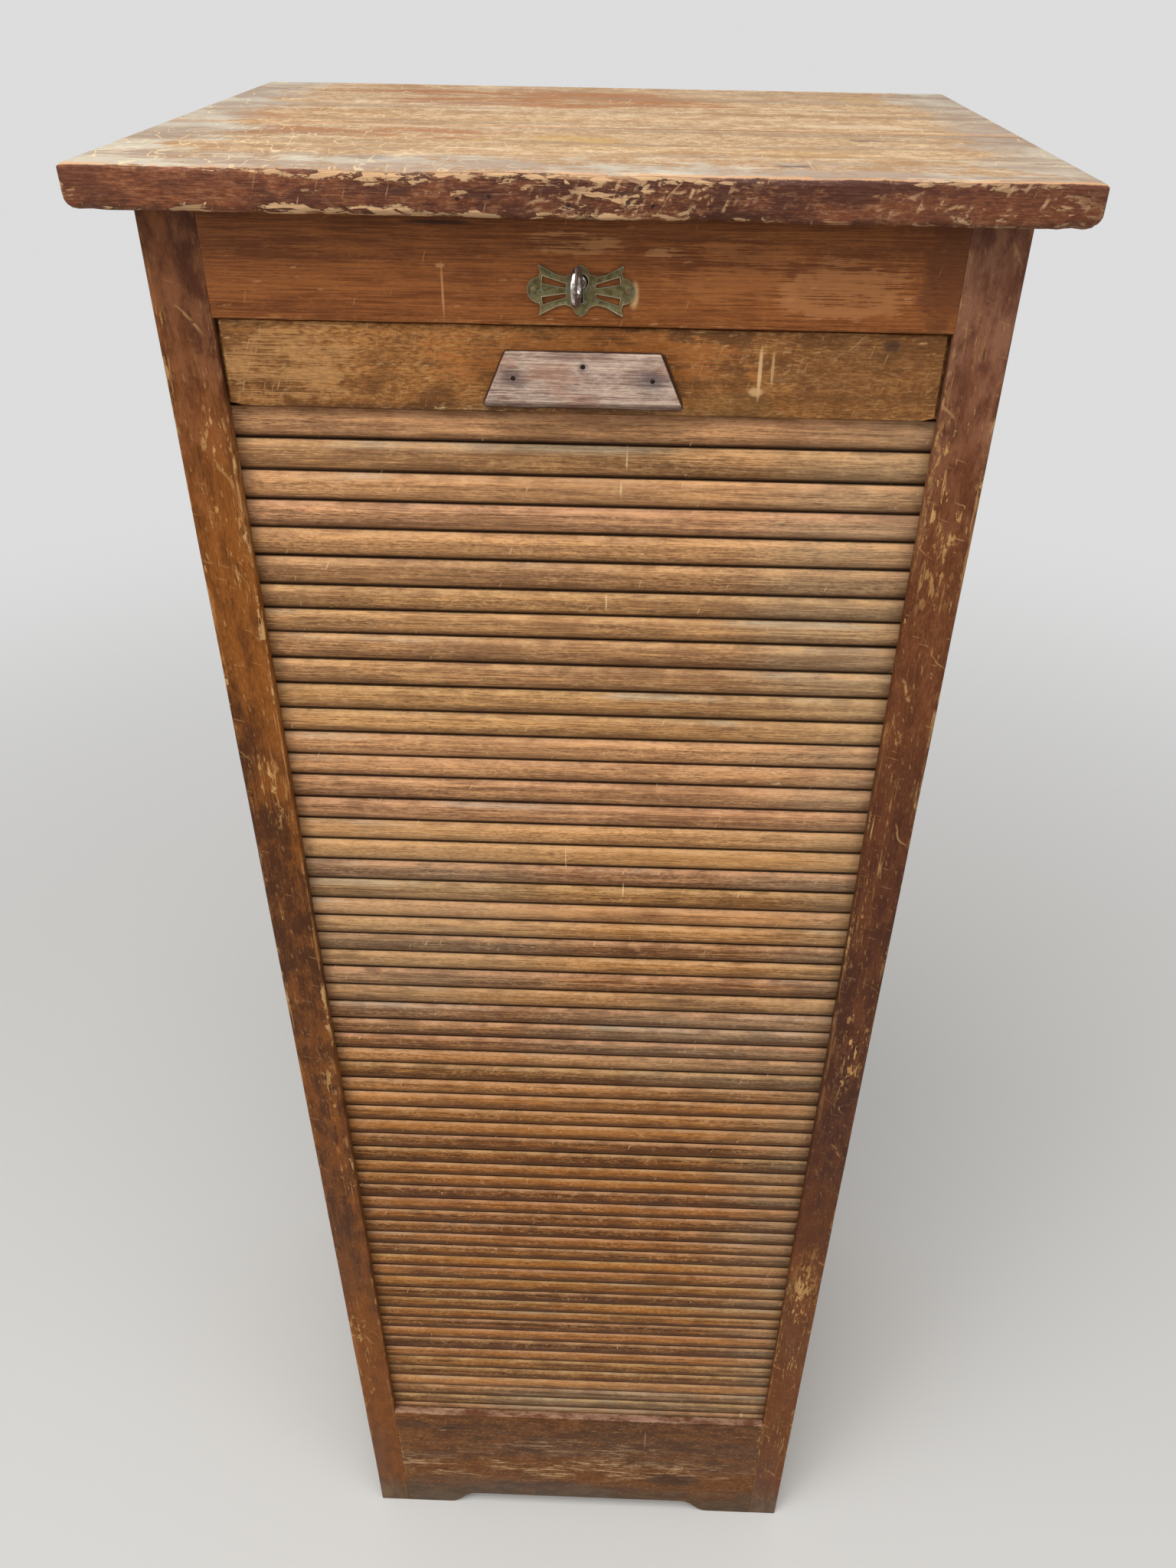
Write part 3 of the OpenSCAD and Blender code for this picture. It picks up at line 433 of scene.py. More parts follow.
def board(corners, radii, start, end, along, seed=0, step=0.014, end_r=0.0008, plan=(0, 0),
          tips=(0, 0), uneven=0.3, knocks=0, arc=3):
    """Rings of points along a board. Its outline's corners, counterclockwise in the two axes after the
    one that it runs along, become arcs of uneven radius, and knocks dent the first of them. Its ends
    are rounded in plan, and at their lower and upper tips."""
    rng = np.random.default_rng(seed)
    tip = max(end_r, *plan, *tips)
    near = sorted({0, *(end_r * s for s in (0.1, 0.35, 0.7, 1)),
                   *(tip * s for s in (0.04, 0.14, 0.3, 0.5, 0.75, 1))})
    near = np.array(near)
    inner = np.linspace(start + near[-1], end - near[-1], max(3, round((end - start) / step)))[1:-1]
    places = np.concatenate([start + near, inner, end - near[::-1]])
    corners = np.array(corners, float)
    ring = []
    for i, corner in enumerate(corners):
        before, after = corners[i - 1] - corner, corners[(i + 1) % len(corners)] - corner
        before, after = before / np.linalg.norm(before), after / np.linalg.norm(after)
        half = math.acos(np.clip(before @ after, -1, 1)) / 2
        middle = (before + after) / np.linalg.norm(before + after) / math.sin(half)
        radius = radii[i] * (1 + uneven * drift(places, seed + 7 * i, 0.12))
        if i < 2:
            for spot in rng.uniform(start, end, knocks):
                width = rng.uniform(0.001, 0.004)
                radius = radius + rng.uniform(0.2, 0.9) * radii[i] * np.exp(-((places - spot) / width) ** 2)
        first, last = before / math.tan(half) - middle, after / math.tan(half) - middle
        for share in np.linspace(0, 1, arc + 1):
            out = first * (1 - share) + last * share
            ring.append(corner + radius[:, None] * (middle + out / np.linalg.norm(out)))
    ring = np.stack(ring, axis=1)
    low, high = corners.min(0), corners.max(0)
    to_end = np.minimum(places - start, end - places)[:, None]
    square = round_in(to_end, end_r)
    ring[:, :, 0] = np.clip(ring[:, :, 0], low[0] + np.maximum(square, round_in(to_end, plan[0])),
                            high[0] - np.maximum(square, round_in(to_end, plan[1])))
    ring[:, :, 1] = np.clip(ring[:, :, 1], low[1] + np.maximum(square, round_in(to_end, tips[0])),
                            high[1] - np.maximum(square, round_in(to_end, tips[1])))
    whole = np.dstack([np.repeat(places[:, None], ring.shape[1], 1), ring])
    return whole[:, :, AXES[along]]


def placed(name, mesh, material, sharp=32):
    """A piece of the cabinet from a mesh whose points are already in place."""
    mesh.name = name
    mesh.materials.clear()
    mesh.materials.append(material)
    mesh.polygons.foreach_set("use_smooth", [True] * len(mesh.polygons))
    mesh.set_sharp_from_angle(angle=math.radians(sharp))
    thing = bpy.data.objects.new(name, mesh)
    bpy.context.scene.collection.objects.link(thing)
    return thing


def skinned(name, boards, material, closed=False):
    """A piece made of one or more closed skins, each over its own rings of points."""
    work = bmesh.new()
    for rings in boards:
        grid = [[work.verts.new(p) for p in ring] for ring in rings]
        pairs = list(zip(grid, grid[1:])) + ([(grid[-1], grid[0])] if closed else [])
        for one, two in pairs:
            for j in range(len(one)):
                k = (j + 1) % len(one)
                work.faces.new((one[j], one[k], two[k], two[j]))
        if not closed:
            work.faces.new(grid[0][::-1])
            work.faces.new(grid[-1])
    bmesh.ops.remove_doubles(work, verts=work.verts, dist=2e-6)
    bmesh.ops.dissolve_degenerate(work, edges=work.edges, dist=2e-6)
    bmesh.ops.recalc_face_normals(work, faces=work.faces)
    mesh = bpy.data.meshes.new(name)
    work.to_mesh(mesh)
    work.free()
    return placed(name, mesh, material)


def oblong(low_u, low_v, high_u, high_v):
    return [(low_u, low_v), (high_u, low_v), (high_u, high_v), (low_u, high_v)]


groove_front, groove_back, groove_depth, groove_foot = 0.0074, 0.018, 0.009, 0.06
post_deep = {"left": tone(78, 42, 16), "right": tone(72, 38, 22)}
post_warm = {"left": tone(146, 84, 30), "right": tone(116, 66, 36)}
post_high = {"left": (tone(84, 46, 34), tone(126, 82, 58)), "right": (tone(106, 66, 50), tone(154, 108, 84))}
pale_wood = tone(214, 168, 108)
foot_dust = tone(116, 98, 74)
cabinet_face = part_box("left_front_post")[0].y

# worn spots of each post's face: middle and reach across and up, in mm
worn_spots = {"left": ((-199, 1150, 9, 60), (-219, 1240, 4, 30), (-204, 962, 12, 26), (-197, 600, 6, 100),
                       (-212, 300, 8, 80)),
              "right": ((203, 1190, 12, 75), (196, 930, 8, 90), (208, 740, 8, 60), (205, 360, 11, 120),
                        (205, 140, 10, 50))}

for side, seed in (("left", 3), ("right", 8)):
    node = side + "_front_post"
    low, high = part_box(node)
    face = low.y
    inner, outer = (low.x, high.x) if side == "right" else (high.x, low.x)
    bottom = inner + math.copysign(groove_depth, outer)
    outline = [(inner, face), (outer, face), (outer, high.y), (inner, high.y), (inner, face + groove_back),
               (bottom, face + groove_back), (bottom, face + groove_front), (inner, face + groove_front)]
    radii = [0.0006, 0.0015, 0.0012, 0.0008, 0.0005, 0.0003, 0.0003, 0.0005]
    if side == "left":
        outline, radii = outline[::-1], radii[::-1]
    rings = board(outline, radii, low.z, high.z, "z", seed)
    deep_in = rings[:, :, 1] - face
    in_groove = (deep_in > 0.005) & (deep_in < 0.02) & (np.abs(rings[:, :, 0]) < abs(bottom) + 0.0002)
    rings[:, :, 0] = np.where(in_groove & (rings[:, :, 2] < groove_foot), inner, rings[:, :, 0])
    f = Finish(node + "_stain", (low, high), "z")
    colour, roughness, height = varnished(f, seed, post_deep[side], post_warm[side], pale_wood,
                                          chipped=0.79, size=150.0, reach=0.005, pull=0.17,
                                          nicked=0.8 if side == "right" else 0.5, lined=0.12, streaky=0.2,
                                          grit=0.16)
    z = f.parts(f.place)[2]
    golden = f.frayed(f.rise(z, 0.95, 0.15))
    colour = f.mix(golden * 0.45, colour, tone(122, 66, 8))
    high_up = f.rise(z + f.mottle * 0.05, 1.14, 1.30)
    colour = f.mix(high_up * 0.65, colour, f.mix(f.mottle, *post_high[side]))
    aged = f.frayed(f.rise(z, 1.06, 0.94) * f.rise(z, 0.40, 0.56))
    colour = f.mix(aged * (0.40 if side == "right" else 0.12), colour, tone(66, 32, 22))
    worn = 0.0
    for across, up, reach_x, reach_z in worn_spots[side]:
        middle, reach = (across / 1000, cabinet_face, up / 1000), (reach_x / 1000, 1, reach_z / 1000)
        worn = f.either(worn, f.mark(middle, reach, 0.8, 0.7, 40.0))
    colour = f.mix(f.frayed(worn * 0.6) * 0.35, colour, post_warm[side])
    long_lines = f.scratched(seed + 11, (1.25, 0.2, 0.12), 0.012, 0.026, 0.00040, 0.012,
                             0.5 if side == "right" else 0.2)
    colour = f.mix(long_lines * 0.5, colour, pale_wood)
    flakes = f.group("chips", Point=f.point, Seed=seed + 3.0, Size=190.0, Level=0.655)[0]
    streaks = f.rise(f.noise(f.point, (30, 420, 420), 4.0, 0.7), 0.59, 0.64)
    torn_wood = f.mix(f.fibre, tone(176, 128, 70), pale_wood)
    colour = f.mix(worn * f.either(flakes, streaks * 0.7), colour, torn_wood)
    colour = dusty_foot(f, colour, 0.09, foot_dust, 0.8)
    post = skinned(node + "_wood", [rings], f.surface(colour, roughness, height, shine=0.14))
    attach(post, "cabinet")
    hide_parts(node)


# The back posts and the three rails of each side, of the same pine. The rails are tenoned into the
# posts and ploughed for the panels, and they lie flush with the posts' outer faces. The back posts
# are rebated for the back panel above their feet.
rebate = 0.010
side_deep, side_warm = tone(80, 42, 16), tone(134, 76, 32)
for side, seed in (("left", 21), ("right", 34)):
    for part, grain in (("back_post", "z"), ("top_rail", "y"), ("middle_rail", "y"), ("bottom_rail", "y")):
        node = f"{side}_{part}"
        seed += 2
        low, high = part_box(node)
        if grain == "z":
            back_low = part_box("back_panel")[0]
            inner, outer = (high.x, low.x) if side == "left" else (low.x, high.x)
            step_x = inner - rebate if side == "left" else inner + rebate
            outline = [(outer, low.y), (inner, low.y), (inner, back_low.y), (step_x, back_low.y),
                       (step_x, high.y), (outer, high.y)]
            radii = [0.0012, 0.0012, 0.0004, 0.0002, 0.0004, 0.0012]
            if side == "right":
                outline, radii = outline[::-1], radii[::-1]
            rings = board(outline, radii, low.z, high.z, "z", seed)
            in_step = np.abs(rings[:, :, 0]) < abs(step_x) + 0.0005
            foot = (rings[:, :, 1] > back_low.y - 0.0005) & (rings[:, :, 2] < back_low.z)
            rings[:, :, 0] = np.where(in_step & foot, inner, rings[:, :, 0])
        else:
            front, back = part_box(side + "_front_post")[1].y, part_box(side + "_back_post")[0].y
            rings = board(oblong(low.z, low.x, high.z, high.x), [0.0009] * 4, front, back, "y", seed)
        f = Finish(node + "_stain", (low, high), grain)
        looks = varnished(f, seed, side_deep, side_warm, pale_wood, size=110.0, lined=0.25)
        colour, roughness, height = looks
        if part in ("back_post", "bottom_rail"):
            colour = dusty_foot(f, colour, 0.06, foot_dust, 0.6)
        piece = skinned(node + "_wood", [rings], f.surface(colour, roughness, height, shine=0.14))
        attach(piece, "cabinet")
        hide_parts(node)


# The panels of the sides and the back panel: thin boards of stained pine that stand loose in their
# grooves, faded less than the posts.
def dress(node, material):
    """Gives a CAD node that is shown as it is its finish."""
    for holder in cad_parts[node].material_slots:
        holder.material = material


panel_deep, panel_warm = tone(90, 46, 14), tone(142, 82, 30)
panels = ["left_upper_panel", "left_lower_panel", "right_upper_panel", "right_lower_panel", "back_panel"]
for seed, node in enumerate(panels, 50):
    f = Finish(node + "_stain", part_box(node), "z")
    dress(node, f.surface(*varnished(f, seed, panel_deep, panel_warm, pale_wood, chipped=0.85, ring=0.007,
                                     pith=(0, 0.02, 0.09), worn=0.2), shine=0.14))


# The top: two wide planks of pine, glued edge to edge. Its face has lost nearly all its varnish and
# is full of scratches. The dark varnish of the edges is chipped down to the pale wood.
joint_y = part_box("top_front_plank")[1].y
straw, tan, orange = tone(212, 178, 136), tone(164, 124, 84), tone(162, 104, 58)
olive, haze, chill = tone(188, 148, 84), tone(162, 142, 126), tone(196, 188, 170)
edge_deep, edge_warm, edge_chip = tone(76, 38, 24), tone(132, 74, 42), tone(208, 166, 122)
# the last of these is a painted highlight for the rounded arrises of the face
knot_dark, arris_highlight = tone(84, 66, 66), tone(206, 152, 106)

# holes that small nails have left in the front edge: mm from the middle and above the floor
nail_holes = [(-57, 1316.2), (-42, 1317.4), (-29.5, 1308), (-5, 1314.3), (23, 1315.9), (28.5, 1322.2),
              (34.5, 1314.7)]

# worn bands and patches of the face, by their middle and reach in mm from the posts' face
bands = [((-42, 300), (125, 46), 0.75, orange), ((-40, 262), (118, 24), 0.8, orange),
         ((-120, 106), (86, 26), 0.85, orange), ((-200, 200), (40, 90), 0.35, orange),
         ((180, 282), (24, 60), 0.7, olive), ((-20, 84), (36, 20), 0.6, olive),
         ((150, 60), (60, 30), 0.35, olive), ((-100, 9), (9, 4), 0.8, knot_dark),
         ((102, 9), (9, 4), 0.85, knot_dark), ((150, 107), (9, 4), 0.6, knot_dark),
         ((-222, 76), (9, 3), 0.6, knot_dark), ((-234, 261), (3, 5), 0.7, knot_dark),
         ((215, 358), (9, 6), 0.5, knot_dark), ((-172, 322), (58, 50), 0.6, orange)]


def top_plank(node, seed, front_r, back_r, plan, tips):
    low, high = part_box(node)
    outline = oblong(low.y, low.z, high.y, high.z)
    radii = [front_r * 0.8, back_r, back_r, front_r] if plan[0] else [back_r, front_r * 0.8, front_r, back_r]
    rings = board(outline, radii, low.x, high.x, "x", seed, step=0.004, end_r=0.0018, plan=plan,
                  tips=tips, uneven=0.45, knocks=70 if plan[0] else 30, arc=5)
    f = Finish(node + "_finish", (low, high), "x")
    colour, roughness, height = varnished(f, seed, edge_deep, edge_warm, edge_chip, chipped=0.745,
                                          size=130.0, reach=0.0075, pull=0.24, nicked=0.3, worn=0.25,
                                          lined=0.08, streaky=0.12, grit=0.35)
    far_end = f.rise(f.parts(f.place)[0] + f.cloud * 0.05, 0.10, 0.22)
    colour = f.mix(far_end * 0.4, colour, edge_deep)
    torn = f.either(f.mark((0.035, low.y, 1.316), (0.055, 1, 0.010), 1.0, 0.5, 40.0),
                    f.mark((0.190, low.y, 1.316), (0.045, 1, 0.012), 1.0, 0.5, 40.0))
    tears = f.either(f.scratched(seed + 2, (0.9, 0.9, 0.4), 0.005, 0.009, 0.0009, 0.006, 0.7),
                     f.scratched(seed + 6, (0.5, 0.3, 0.2), 0.005, 0.012, 0.0008, 0.006, 0.6))
    tears = tears * torn * f.rise(f.noise(f.point, (200, 200, 200), 3.0, 0.7), 0.40, 0.48)
    colour = f.mix(tears, colour, f.mix(f.fibre, darker(edge_chip, 0.7), edge_chip))
    if plan[0]:
        torn = f.either(f.mark((-0.046, low.y, 1.315), (0.044, 1, 0.011), 1.0, 0.5, 40.0), torn * 0.9)
        flakes = f.group("chips", Point=f.point, Seed=seed + 3.0, Size=170.0, Level=0.655)[0]
        colour = f.mix(flakes * torn, colour, f.mix(f.fibre, darker(edge_chip, 0.72), edge_chip))
        for x, z in nail_holes:
            hole = f.mark((x / 1000, low.y, z / 1000), (0.0011, 1, 0.0009), 0.3, 0.3, 900.0)
            colour = f.mix(hole * 0.9, colour, tone(26, 14, 10))
    f.grain(seed + 20, 0.009, (0, 0.03, -0.12), f.vector("MULTIPLY", f.point, (1.3, 0.42, 1)))
    streak = f.fibre * 0.40 + (f.cloud * 0.30 + f.mottle * 0.30)
    face = f.mix(f.rise(streak, 0.1, 0.85), tan, straw)
    face = f.mix(f.rings * 0.22, face, darker(tan, 0.7))
    face = f.gritty(face, 0.4, tone(136, 100, 68), tone(236, 212, 176))
    wander = f.noise(f.place, (7, 26, 1), 5.0, 0.6)
    for (x, y), (reach_x, reach_y), most, paint in bands:
        middle, reach = (x / 1000, cabinet_face + y / 1000, high.z), (reach_x / 1000, reach_y / 1000, 1)
        small = reach_x < 12
        spot = f.mark(middle, reach, *((0.9, 0.4, 150.0) if small else (1.6, 0.45, 16.0)))
        if not small:
            spot = f.frayed(spot * f.rise(wander, 0.36, 0.62))
        face = f.mix(spot * most, face, paint)
    x, y, _ = f.parts(f.place)
    side_way = f.rise(f.math("ABSOLUTE", x) + wander * 0.10, 0.205, 0.285)
    front_way = f.rise(y - wander * 0.09, cabinet_face + 0.012, cabinet_face - 0.060)
    hazy = f.frayed(f.either(side_way, front_way * 0.85) * 0.8)
    cold = f.rise(f.noise(f.place, (11, 16, 1), 4.0, 0.6), 0.42, 0.60)
    face = f.mix(hazy * 0.85, face, f.mix(cold, haze, chill))
    grey_grain = f.frayed(f.rise(f.noise(f.place, (5, 40, 5), 4.0, 0.6), 0.50, 0.66))
    face = f.mix(grey_grain * 0.5, face, tone(146, 120, 96))
    bleached = f.frayed(f.rise(f.noise(f.place, (14, 60, 14), 5.0, 0.7), 0.52, 0.66) * 0.8)
    face = f.mix(bleached * 0.4, face, tone(228, 206, 174))
    left = f.rise(x + wander * 0.12, 0.08, -0.10)
    most_left = f.rise(y, cabinet_face + 0.20, cabinet_face + 0.06)
    curls = [f.group("curls", Point=f.place, Seed=own, Stretch=stretch, Width=width, Gaps=gaps)[0]
             for own, stretch, width, gaps in ((1.0, (46, 20, 30), 0.0095, 0.50),
                                               (4.0, (76, 34, 30), 0.0190, 0.48),
                                               (6.3, (34, 60, 30), 0.0090, 0.57))]
    lines = f.either(curls[0] * left, curls[1] * (left * most_left))
    lines = f.either(lines, curls[2] * f.either(left, 0.35))
    lines = f.either(lines, f.scratched(seed + 3, (0.0, QUARTER, -0.5), 0.014, 0.03, 0.00040, 0.03, 0.4))
    lines = f.either(lines, f.scratched(seed + 8, (QUARTER, 0.0, 0.1), 0.020, 0.03, 0.00036, 0.03, 0.4))
    face = f.mix(lines * 0.62, face, tone(240, 216, 172))
    specks = f.group("chips", Point=f.place, Seed=7.0, Size=190.0, Level=0.775)[0]
    face = f.mix(specks * 0.7, face, tone(244, 230, 204))
    dirt = f.group("chips", Point=f.place, Seed=2.0, Size=260.0, Level=0.80)[0]
    face = f.mix(dirt * 0.5, face, tone(120, 88, 60))
    face = f.mix(f.flecks * 0.4, face, darker(tan, 0.5))
    # painted highlight: a pale band along the rounded arrises of the face
    rim = f.frayed(f.rise(f.edge, 0.0040, 0.0008) * f.scaled(f.cloud, 0.4, 0.5))
    face = f.mix(rim * 0.7, face, arris_highlight)
    near_joint = f.rise(f.math("ABSOLUTE", y - joint_y), 0.0022, 0.0003)
    open_joint = near_joint * f.mark((0.068, joint_y, high.z), (0.075, 1, 1), 0.4, 0.3, 40.0)
    face = f.mix(open_joint * 0.8, face, tone(96, 62, 40))
    up = f.scaled(f.noise(f.place, (120, 160, 120), 5.0, 0.7), 0.55, f.parts(f.facing)[2])
    worn_face = f.rise(up, 0.90, 1.04)
    colour = f.mix(worn_face, colour, face)
    roughness = f.scaled(worn_face, 0.2, roughness * 0.95)
    height = f.add("ShaderNodeMix", {0: worn_face, 2: height, 3: f.fibre * 0.35})
    plank = skinned(node + "_wood", [rings], f.surface(colour, roughness, height, 0.0005))
    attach(plank, "cabinet")
    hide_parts(node)


top_plank("top_front_plank", 61, 0.0034, 0.0004, (0.0025, 0), (0.0085, 0.0040))
top_plank("top_rear_plank", 64, 0.0030, 0.0004, (0, 0.0040), (0.0085, 0.0040))


# The lock rail: a board of pine between the front posts, tenoned into them and flush with them. It
# is stained a clearer orange-brown, and a keyhole and a pocket for the lock are cut through it.
def marked(f, colour, marks, ragged, grain, wide):
    """A colour with marks, each its middle and reach in the cabinet, its strength and its paint.
    Along the fibres, a mark that reaches further than wide across and isn't strong is broken up."""
    for middle, reach, most, paint in marks:
        rub = f.mark(middle, reach, ragged, 0.4, grain)
        if reach[0] > wide and most < 0.8:
            rub = f.frayed(rub * 0.6)
        colour = f.mix(rub * most, colour, paint)
    return colour


low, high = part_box("lock_rail")
post_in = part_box("right_front_post")[0].x
case_low, case_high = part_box("lock_case")

# the key's axis above the foot of the lock's cap
key_up = 0.0215
key_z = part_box("lock_cap")[0].z + key_up
rings = board(oblong(low.y, low.z, high.y, high.z), [0.0009, 0.0005, 0.0005, 0.0005], -post_in, post_in,
              "x", 71, 0.010, 0.0004)
f = Finish("lock_rail_stain", (low, high), "x")
rail_deep, rail_warm = tone(108, 56, 18), tone(156, 92, 42)
colour, roughness, height = varnished(f, 71, rail_deep, rail_warm, tone(206, 152, 98), chipped=0.84,
                                      size=110.0, nicked=0.14, ring=0.0024, pith=(0, 0.03, 0.11), worn=0.1,
                                      lined=0.22, streaky=0.6, grit=0.15)

# marks, each with its middle, reach, strength and paint
rail_marks = [
    ((-0.070, cabinet_face, 1.3022), (0.016, 1, 0.0010), 0.9, tone(46, 20, 8)),
    ((-0.070, cabinet_face, 1.2700), (0.0006, 1, 0.012), 0.6, tone(205, 150, 100)),
    ((-0.0705, cabinet_face, 1.2825), (0.0022, 1, 0.0010), 0.6, tone(205, 150, 100)),
    ((-0.003, cabinet_face, 1.2940), (0.026, 1, 0.006), 0.5, tone(196, 140, 88)),
    ((0.042, cabinet_face, 1.2905), (0.012, 1, 0.003), 0.5, tone(200, 146, 94)),
    ((0.0268, cabinet_face, 1.2705), (0.0022, 1, 0.0058), 0.8, tone(218, 176, 122)),
    ((0.078, cabinet_face, 1.283), (0.036, 1, 0.016), 0.35, tone(176, 112, 62)),
    ((0.132, cabinet_face, 1.275), (0.034, 1, 0.017), 0.50, tone(184, 124, 76)),
    ((0.182, cabinet_face, 1.284), (0.014, 1, 0.03), 0.55, tone(74, 34, 16))]
colour = marked(f, colour, rail_marks, 0.9, 110.0, 0.01)
# painted shade: the rail is darkened towards its top, under the overhang of the top
shade_under_top = f.rise(f.parts(f.place)[2], high.z - 0.012, high.z)
colour = f.mix(shade_under_top * 0.25, colour, darker(rail_deep, 0.6))
lock_rail = skinned("lock_rail_wood", [rings], f.surface(colour, roughness, height))


def cut(thing, tools):
    """Takes the shapes of the tools out of a piece and removes the tools."""
    for tool in tools:
        knife = thing.modifiers.new("cut", "BOOLEAN")
        knife.operation, knife.solver, knife.object = "DIFFERENCE", "EXACT", tool
    bpy.context.view_layer.update()
    graph = bpy.context.evaluated_depsgraph_get()
    mesh = bpy.data.meshes.new_from_object(thing.evaluated_get(graph), depsgraph=graph)
    thing.modifiers.clear()
    thing.data = mesh
    for tool in tools:
        bpy.data.objects.remove(tool)
    mesh.set_sharp_from_angle(angle=math.radians(32))


def keyhole_rings(front, back):
    """A keyhole's outline at its front and back: a round head over a slot."""
    head_r, slot_half, slot_down = 0.0036, 0.0011, 0.0101
    open_angle = math.asin(slot_half / head_r)
    turn = np.linspace(-QUARTER + open_angle, 3 * QUARTER - open_angle, 25)
    outline = [(head_r * math.cos(a), key_z + head_r * math.sin(a)) for a in turn]
    outline += [(-slot_half, key_z - slot_down), (slot_half, key_z - slot_down)]
    return np.array([[(x, y, z) for x, z in outline] for y in (front, back)])


def block(name, y_range, z_range, x_range):
    """A plain block to cut with."""
    corners = oblong(y_range[0], z_range[0], y_range[1], z_range[1])
    return skinned(name, [board(corners, [0] * 4, *x_range, "x", end_r=0)], f.material)


# how far a tool reaches past the surface that it opens
past = 0.002
keyhole = skinned("keyhole_tool", [keyhole_rings(low.y - past, case_low.y + 0.001)], f.material)
cap_low, cap_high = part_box("lock_cap")
pocket = block("pocket_tool", (case_low.y, high.y + past), (case_low.z - past, case_high.z),
               (case_low.x, case_high.x))
ledge = block("ledge_tool", (cap_low.y, high.y + past), (cap_low.z - past, cap_high.z),
              (cap_low.x, cap_high.x))
cut(lock_rail, [keyhole, pocket, ledge])
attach(lock_rail, "cabinet")
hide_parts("lock_rail")


# The plinth: a thin board between the posts at the foot of the front. A shallow cut-out leaves two
# feet. Its lower half is grey with floor dirt, and shoes have scuffed the middle.
low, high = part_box("plinth")
cut_height, cut_flat, cut_curve = 0.020, 0.115, 0.027
rings = board(oblong(low.y, low.z, high.y, high.z), [0.0008, 0.0006, 0.0006, 0.0016], low.x, high.x, "x",
              81, 0.005, 0.0005)
way = np.clip((np.abs(rings[:, :, 0]) - cut_flat) / cut_curve, 0, 1)
lift = cut_height * (1 + np.cos(math.pi * way)) / 2
share = np.clip((high.z - rings[:, :, 2]) / (high.z - low.z), 0, 1)
rings[:, :, 2] += lift * share
f = Finish("plinth_stain", (low, high), "x")
colour, roughness, height = varnished(f, 81, tone(80, 44, 10), tone(132, 76, 22), tone(204, 166, 122),
                                      chipped=0.80, size=120.0, nicked=0.4, ring=0.008,
                                      pith=(0, 0.02, -0.12), worn=0.25, lined=0.15, grit=0.4)
scuffs = f.rise(f.noise(f.point, (44, 380, 380), 5.0, 0.76), 0.53, 0.56)
band = f.mark((-0.01, cabinet_face, 0.083), (0.19, 1, 0.024), 1.2, 0.5, 30.0)
band = f.either(band, f.mark((0.03, cabinet_face, 0.128), (0.12, 1, 0.014), 1.2, 0.5, 30.0) * 0.5)
band = band * f.rise(f.noise(f.point, (14, 40, 40), 3.0, 0.6), 0.42, 0.52)
colour = f.mix(scuffs * band * 0.9, colour, tone(206, 168, 124))
kicks = [
    ((-0.136, cabinet_face, 0.159), (0.009, 1, 0.0012), 0.8, tone(40, 24, 16)),
    ((0.070, cabinet_face, 0.149), (0.0007, 1, 0.016), 0.5, tone(186, 150, 116)),
    ((0.105, cabinet_face, 0.066), (0.030, 1, 0.012), 0.55, tone(44, 34, 26))]
colour = marked(f, colour, kicks, 1.0, 60.0, 1.0)
pale_top = f.rise(f.parts(f.place)[2], high.z - 0.0016, high.z - 0.0004)
colour = f.mix(f.frayed(pale_top) * 0.7, colour, f.mix(f.mottle, tone(120, 76, 54), tone(196, 156, 130)))
colour = dusty_foot(f, colour, 0.080, tone(92, 76, 50), 0.9)
plinth = skinned("plinth_wood", [rings], f.surface(colour, roughness, height, shine=0.14))
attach(plinth, "cabinet")
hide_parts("plinth")


# The plain inner boards: blocks, bottom and floor boards, linings, cleats, inner back, back rail and
# battens. They are rough-sawn pine that was never stained and has aged to a dull tan.
def bare_pine(name, box, grain, seed, pale, dull, ring=0.006):
    f = Finish(name, box, grain)
    f.grain(seed, ring)
    streak = f.fibre * 0.45 + (f.cloud * 0.30 + f.mottle * 0.25)
    colour = f.mix(streak, dull, pale)
    colour = f.mix(f.rings * 0.4, colour, darker(dull, 0.75))
    colour = f.mix(f.flecks * 0.5, colour, darker(dull, 0.45))
    stain = f.frayed(f.rise(f.noise(f.point, (8, 30, 30), 5.0, 0.6), 0.52, 0.72))
    colour = f.mix(stain * 0.35, colour, darker(dull, 0.6))
    height = f.scaled(f.fibre, 0.5, f.rings * 0.2)
    return f.surface(colour, f.scaled(f.cloud, 0.12, 0.68), height)


inner_pale, inner_dull = tone(196, 156, 108), tone(160, 118, 76)
inner_boards = {"plinth_block": "x", "back_block": "x", "bottom_board": "x", "floor_board": "x",
                "left_lining": "z", "right_lining": "z", "left_cleats": "y", "right_cleats": "y",
                "inner_back": "z", "back_rail": "x", "top_battens": "y"}
for seed, (node, grain) in enumerate(inner_boards.items(), 90):
    dress(node, bare_pine(node + "_bare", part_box(node), grain, seed, inner_pale, inner_dull))


# The ten shelves: thin loose boards of bare pine with a rounded front edge, which hands have
# darkened a little. They lie on their cleats.
shelf_nodes = [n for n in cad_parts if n.startswith("shelf_")]
shelf_pale, shelf_dull = tone(188, 146, 98), tone(150, 108, 68)
for seed, node in enumerate(sorted(shelf_nodes), 120):
    dress(node, bare_pine(node + "_bare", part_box(node), "x", seed, shelf_pale, shelf_dull, ring=0.009))
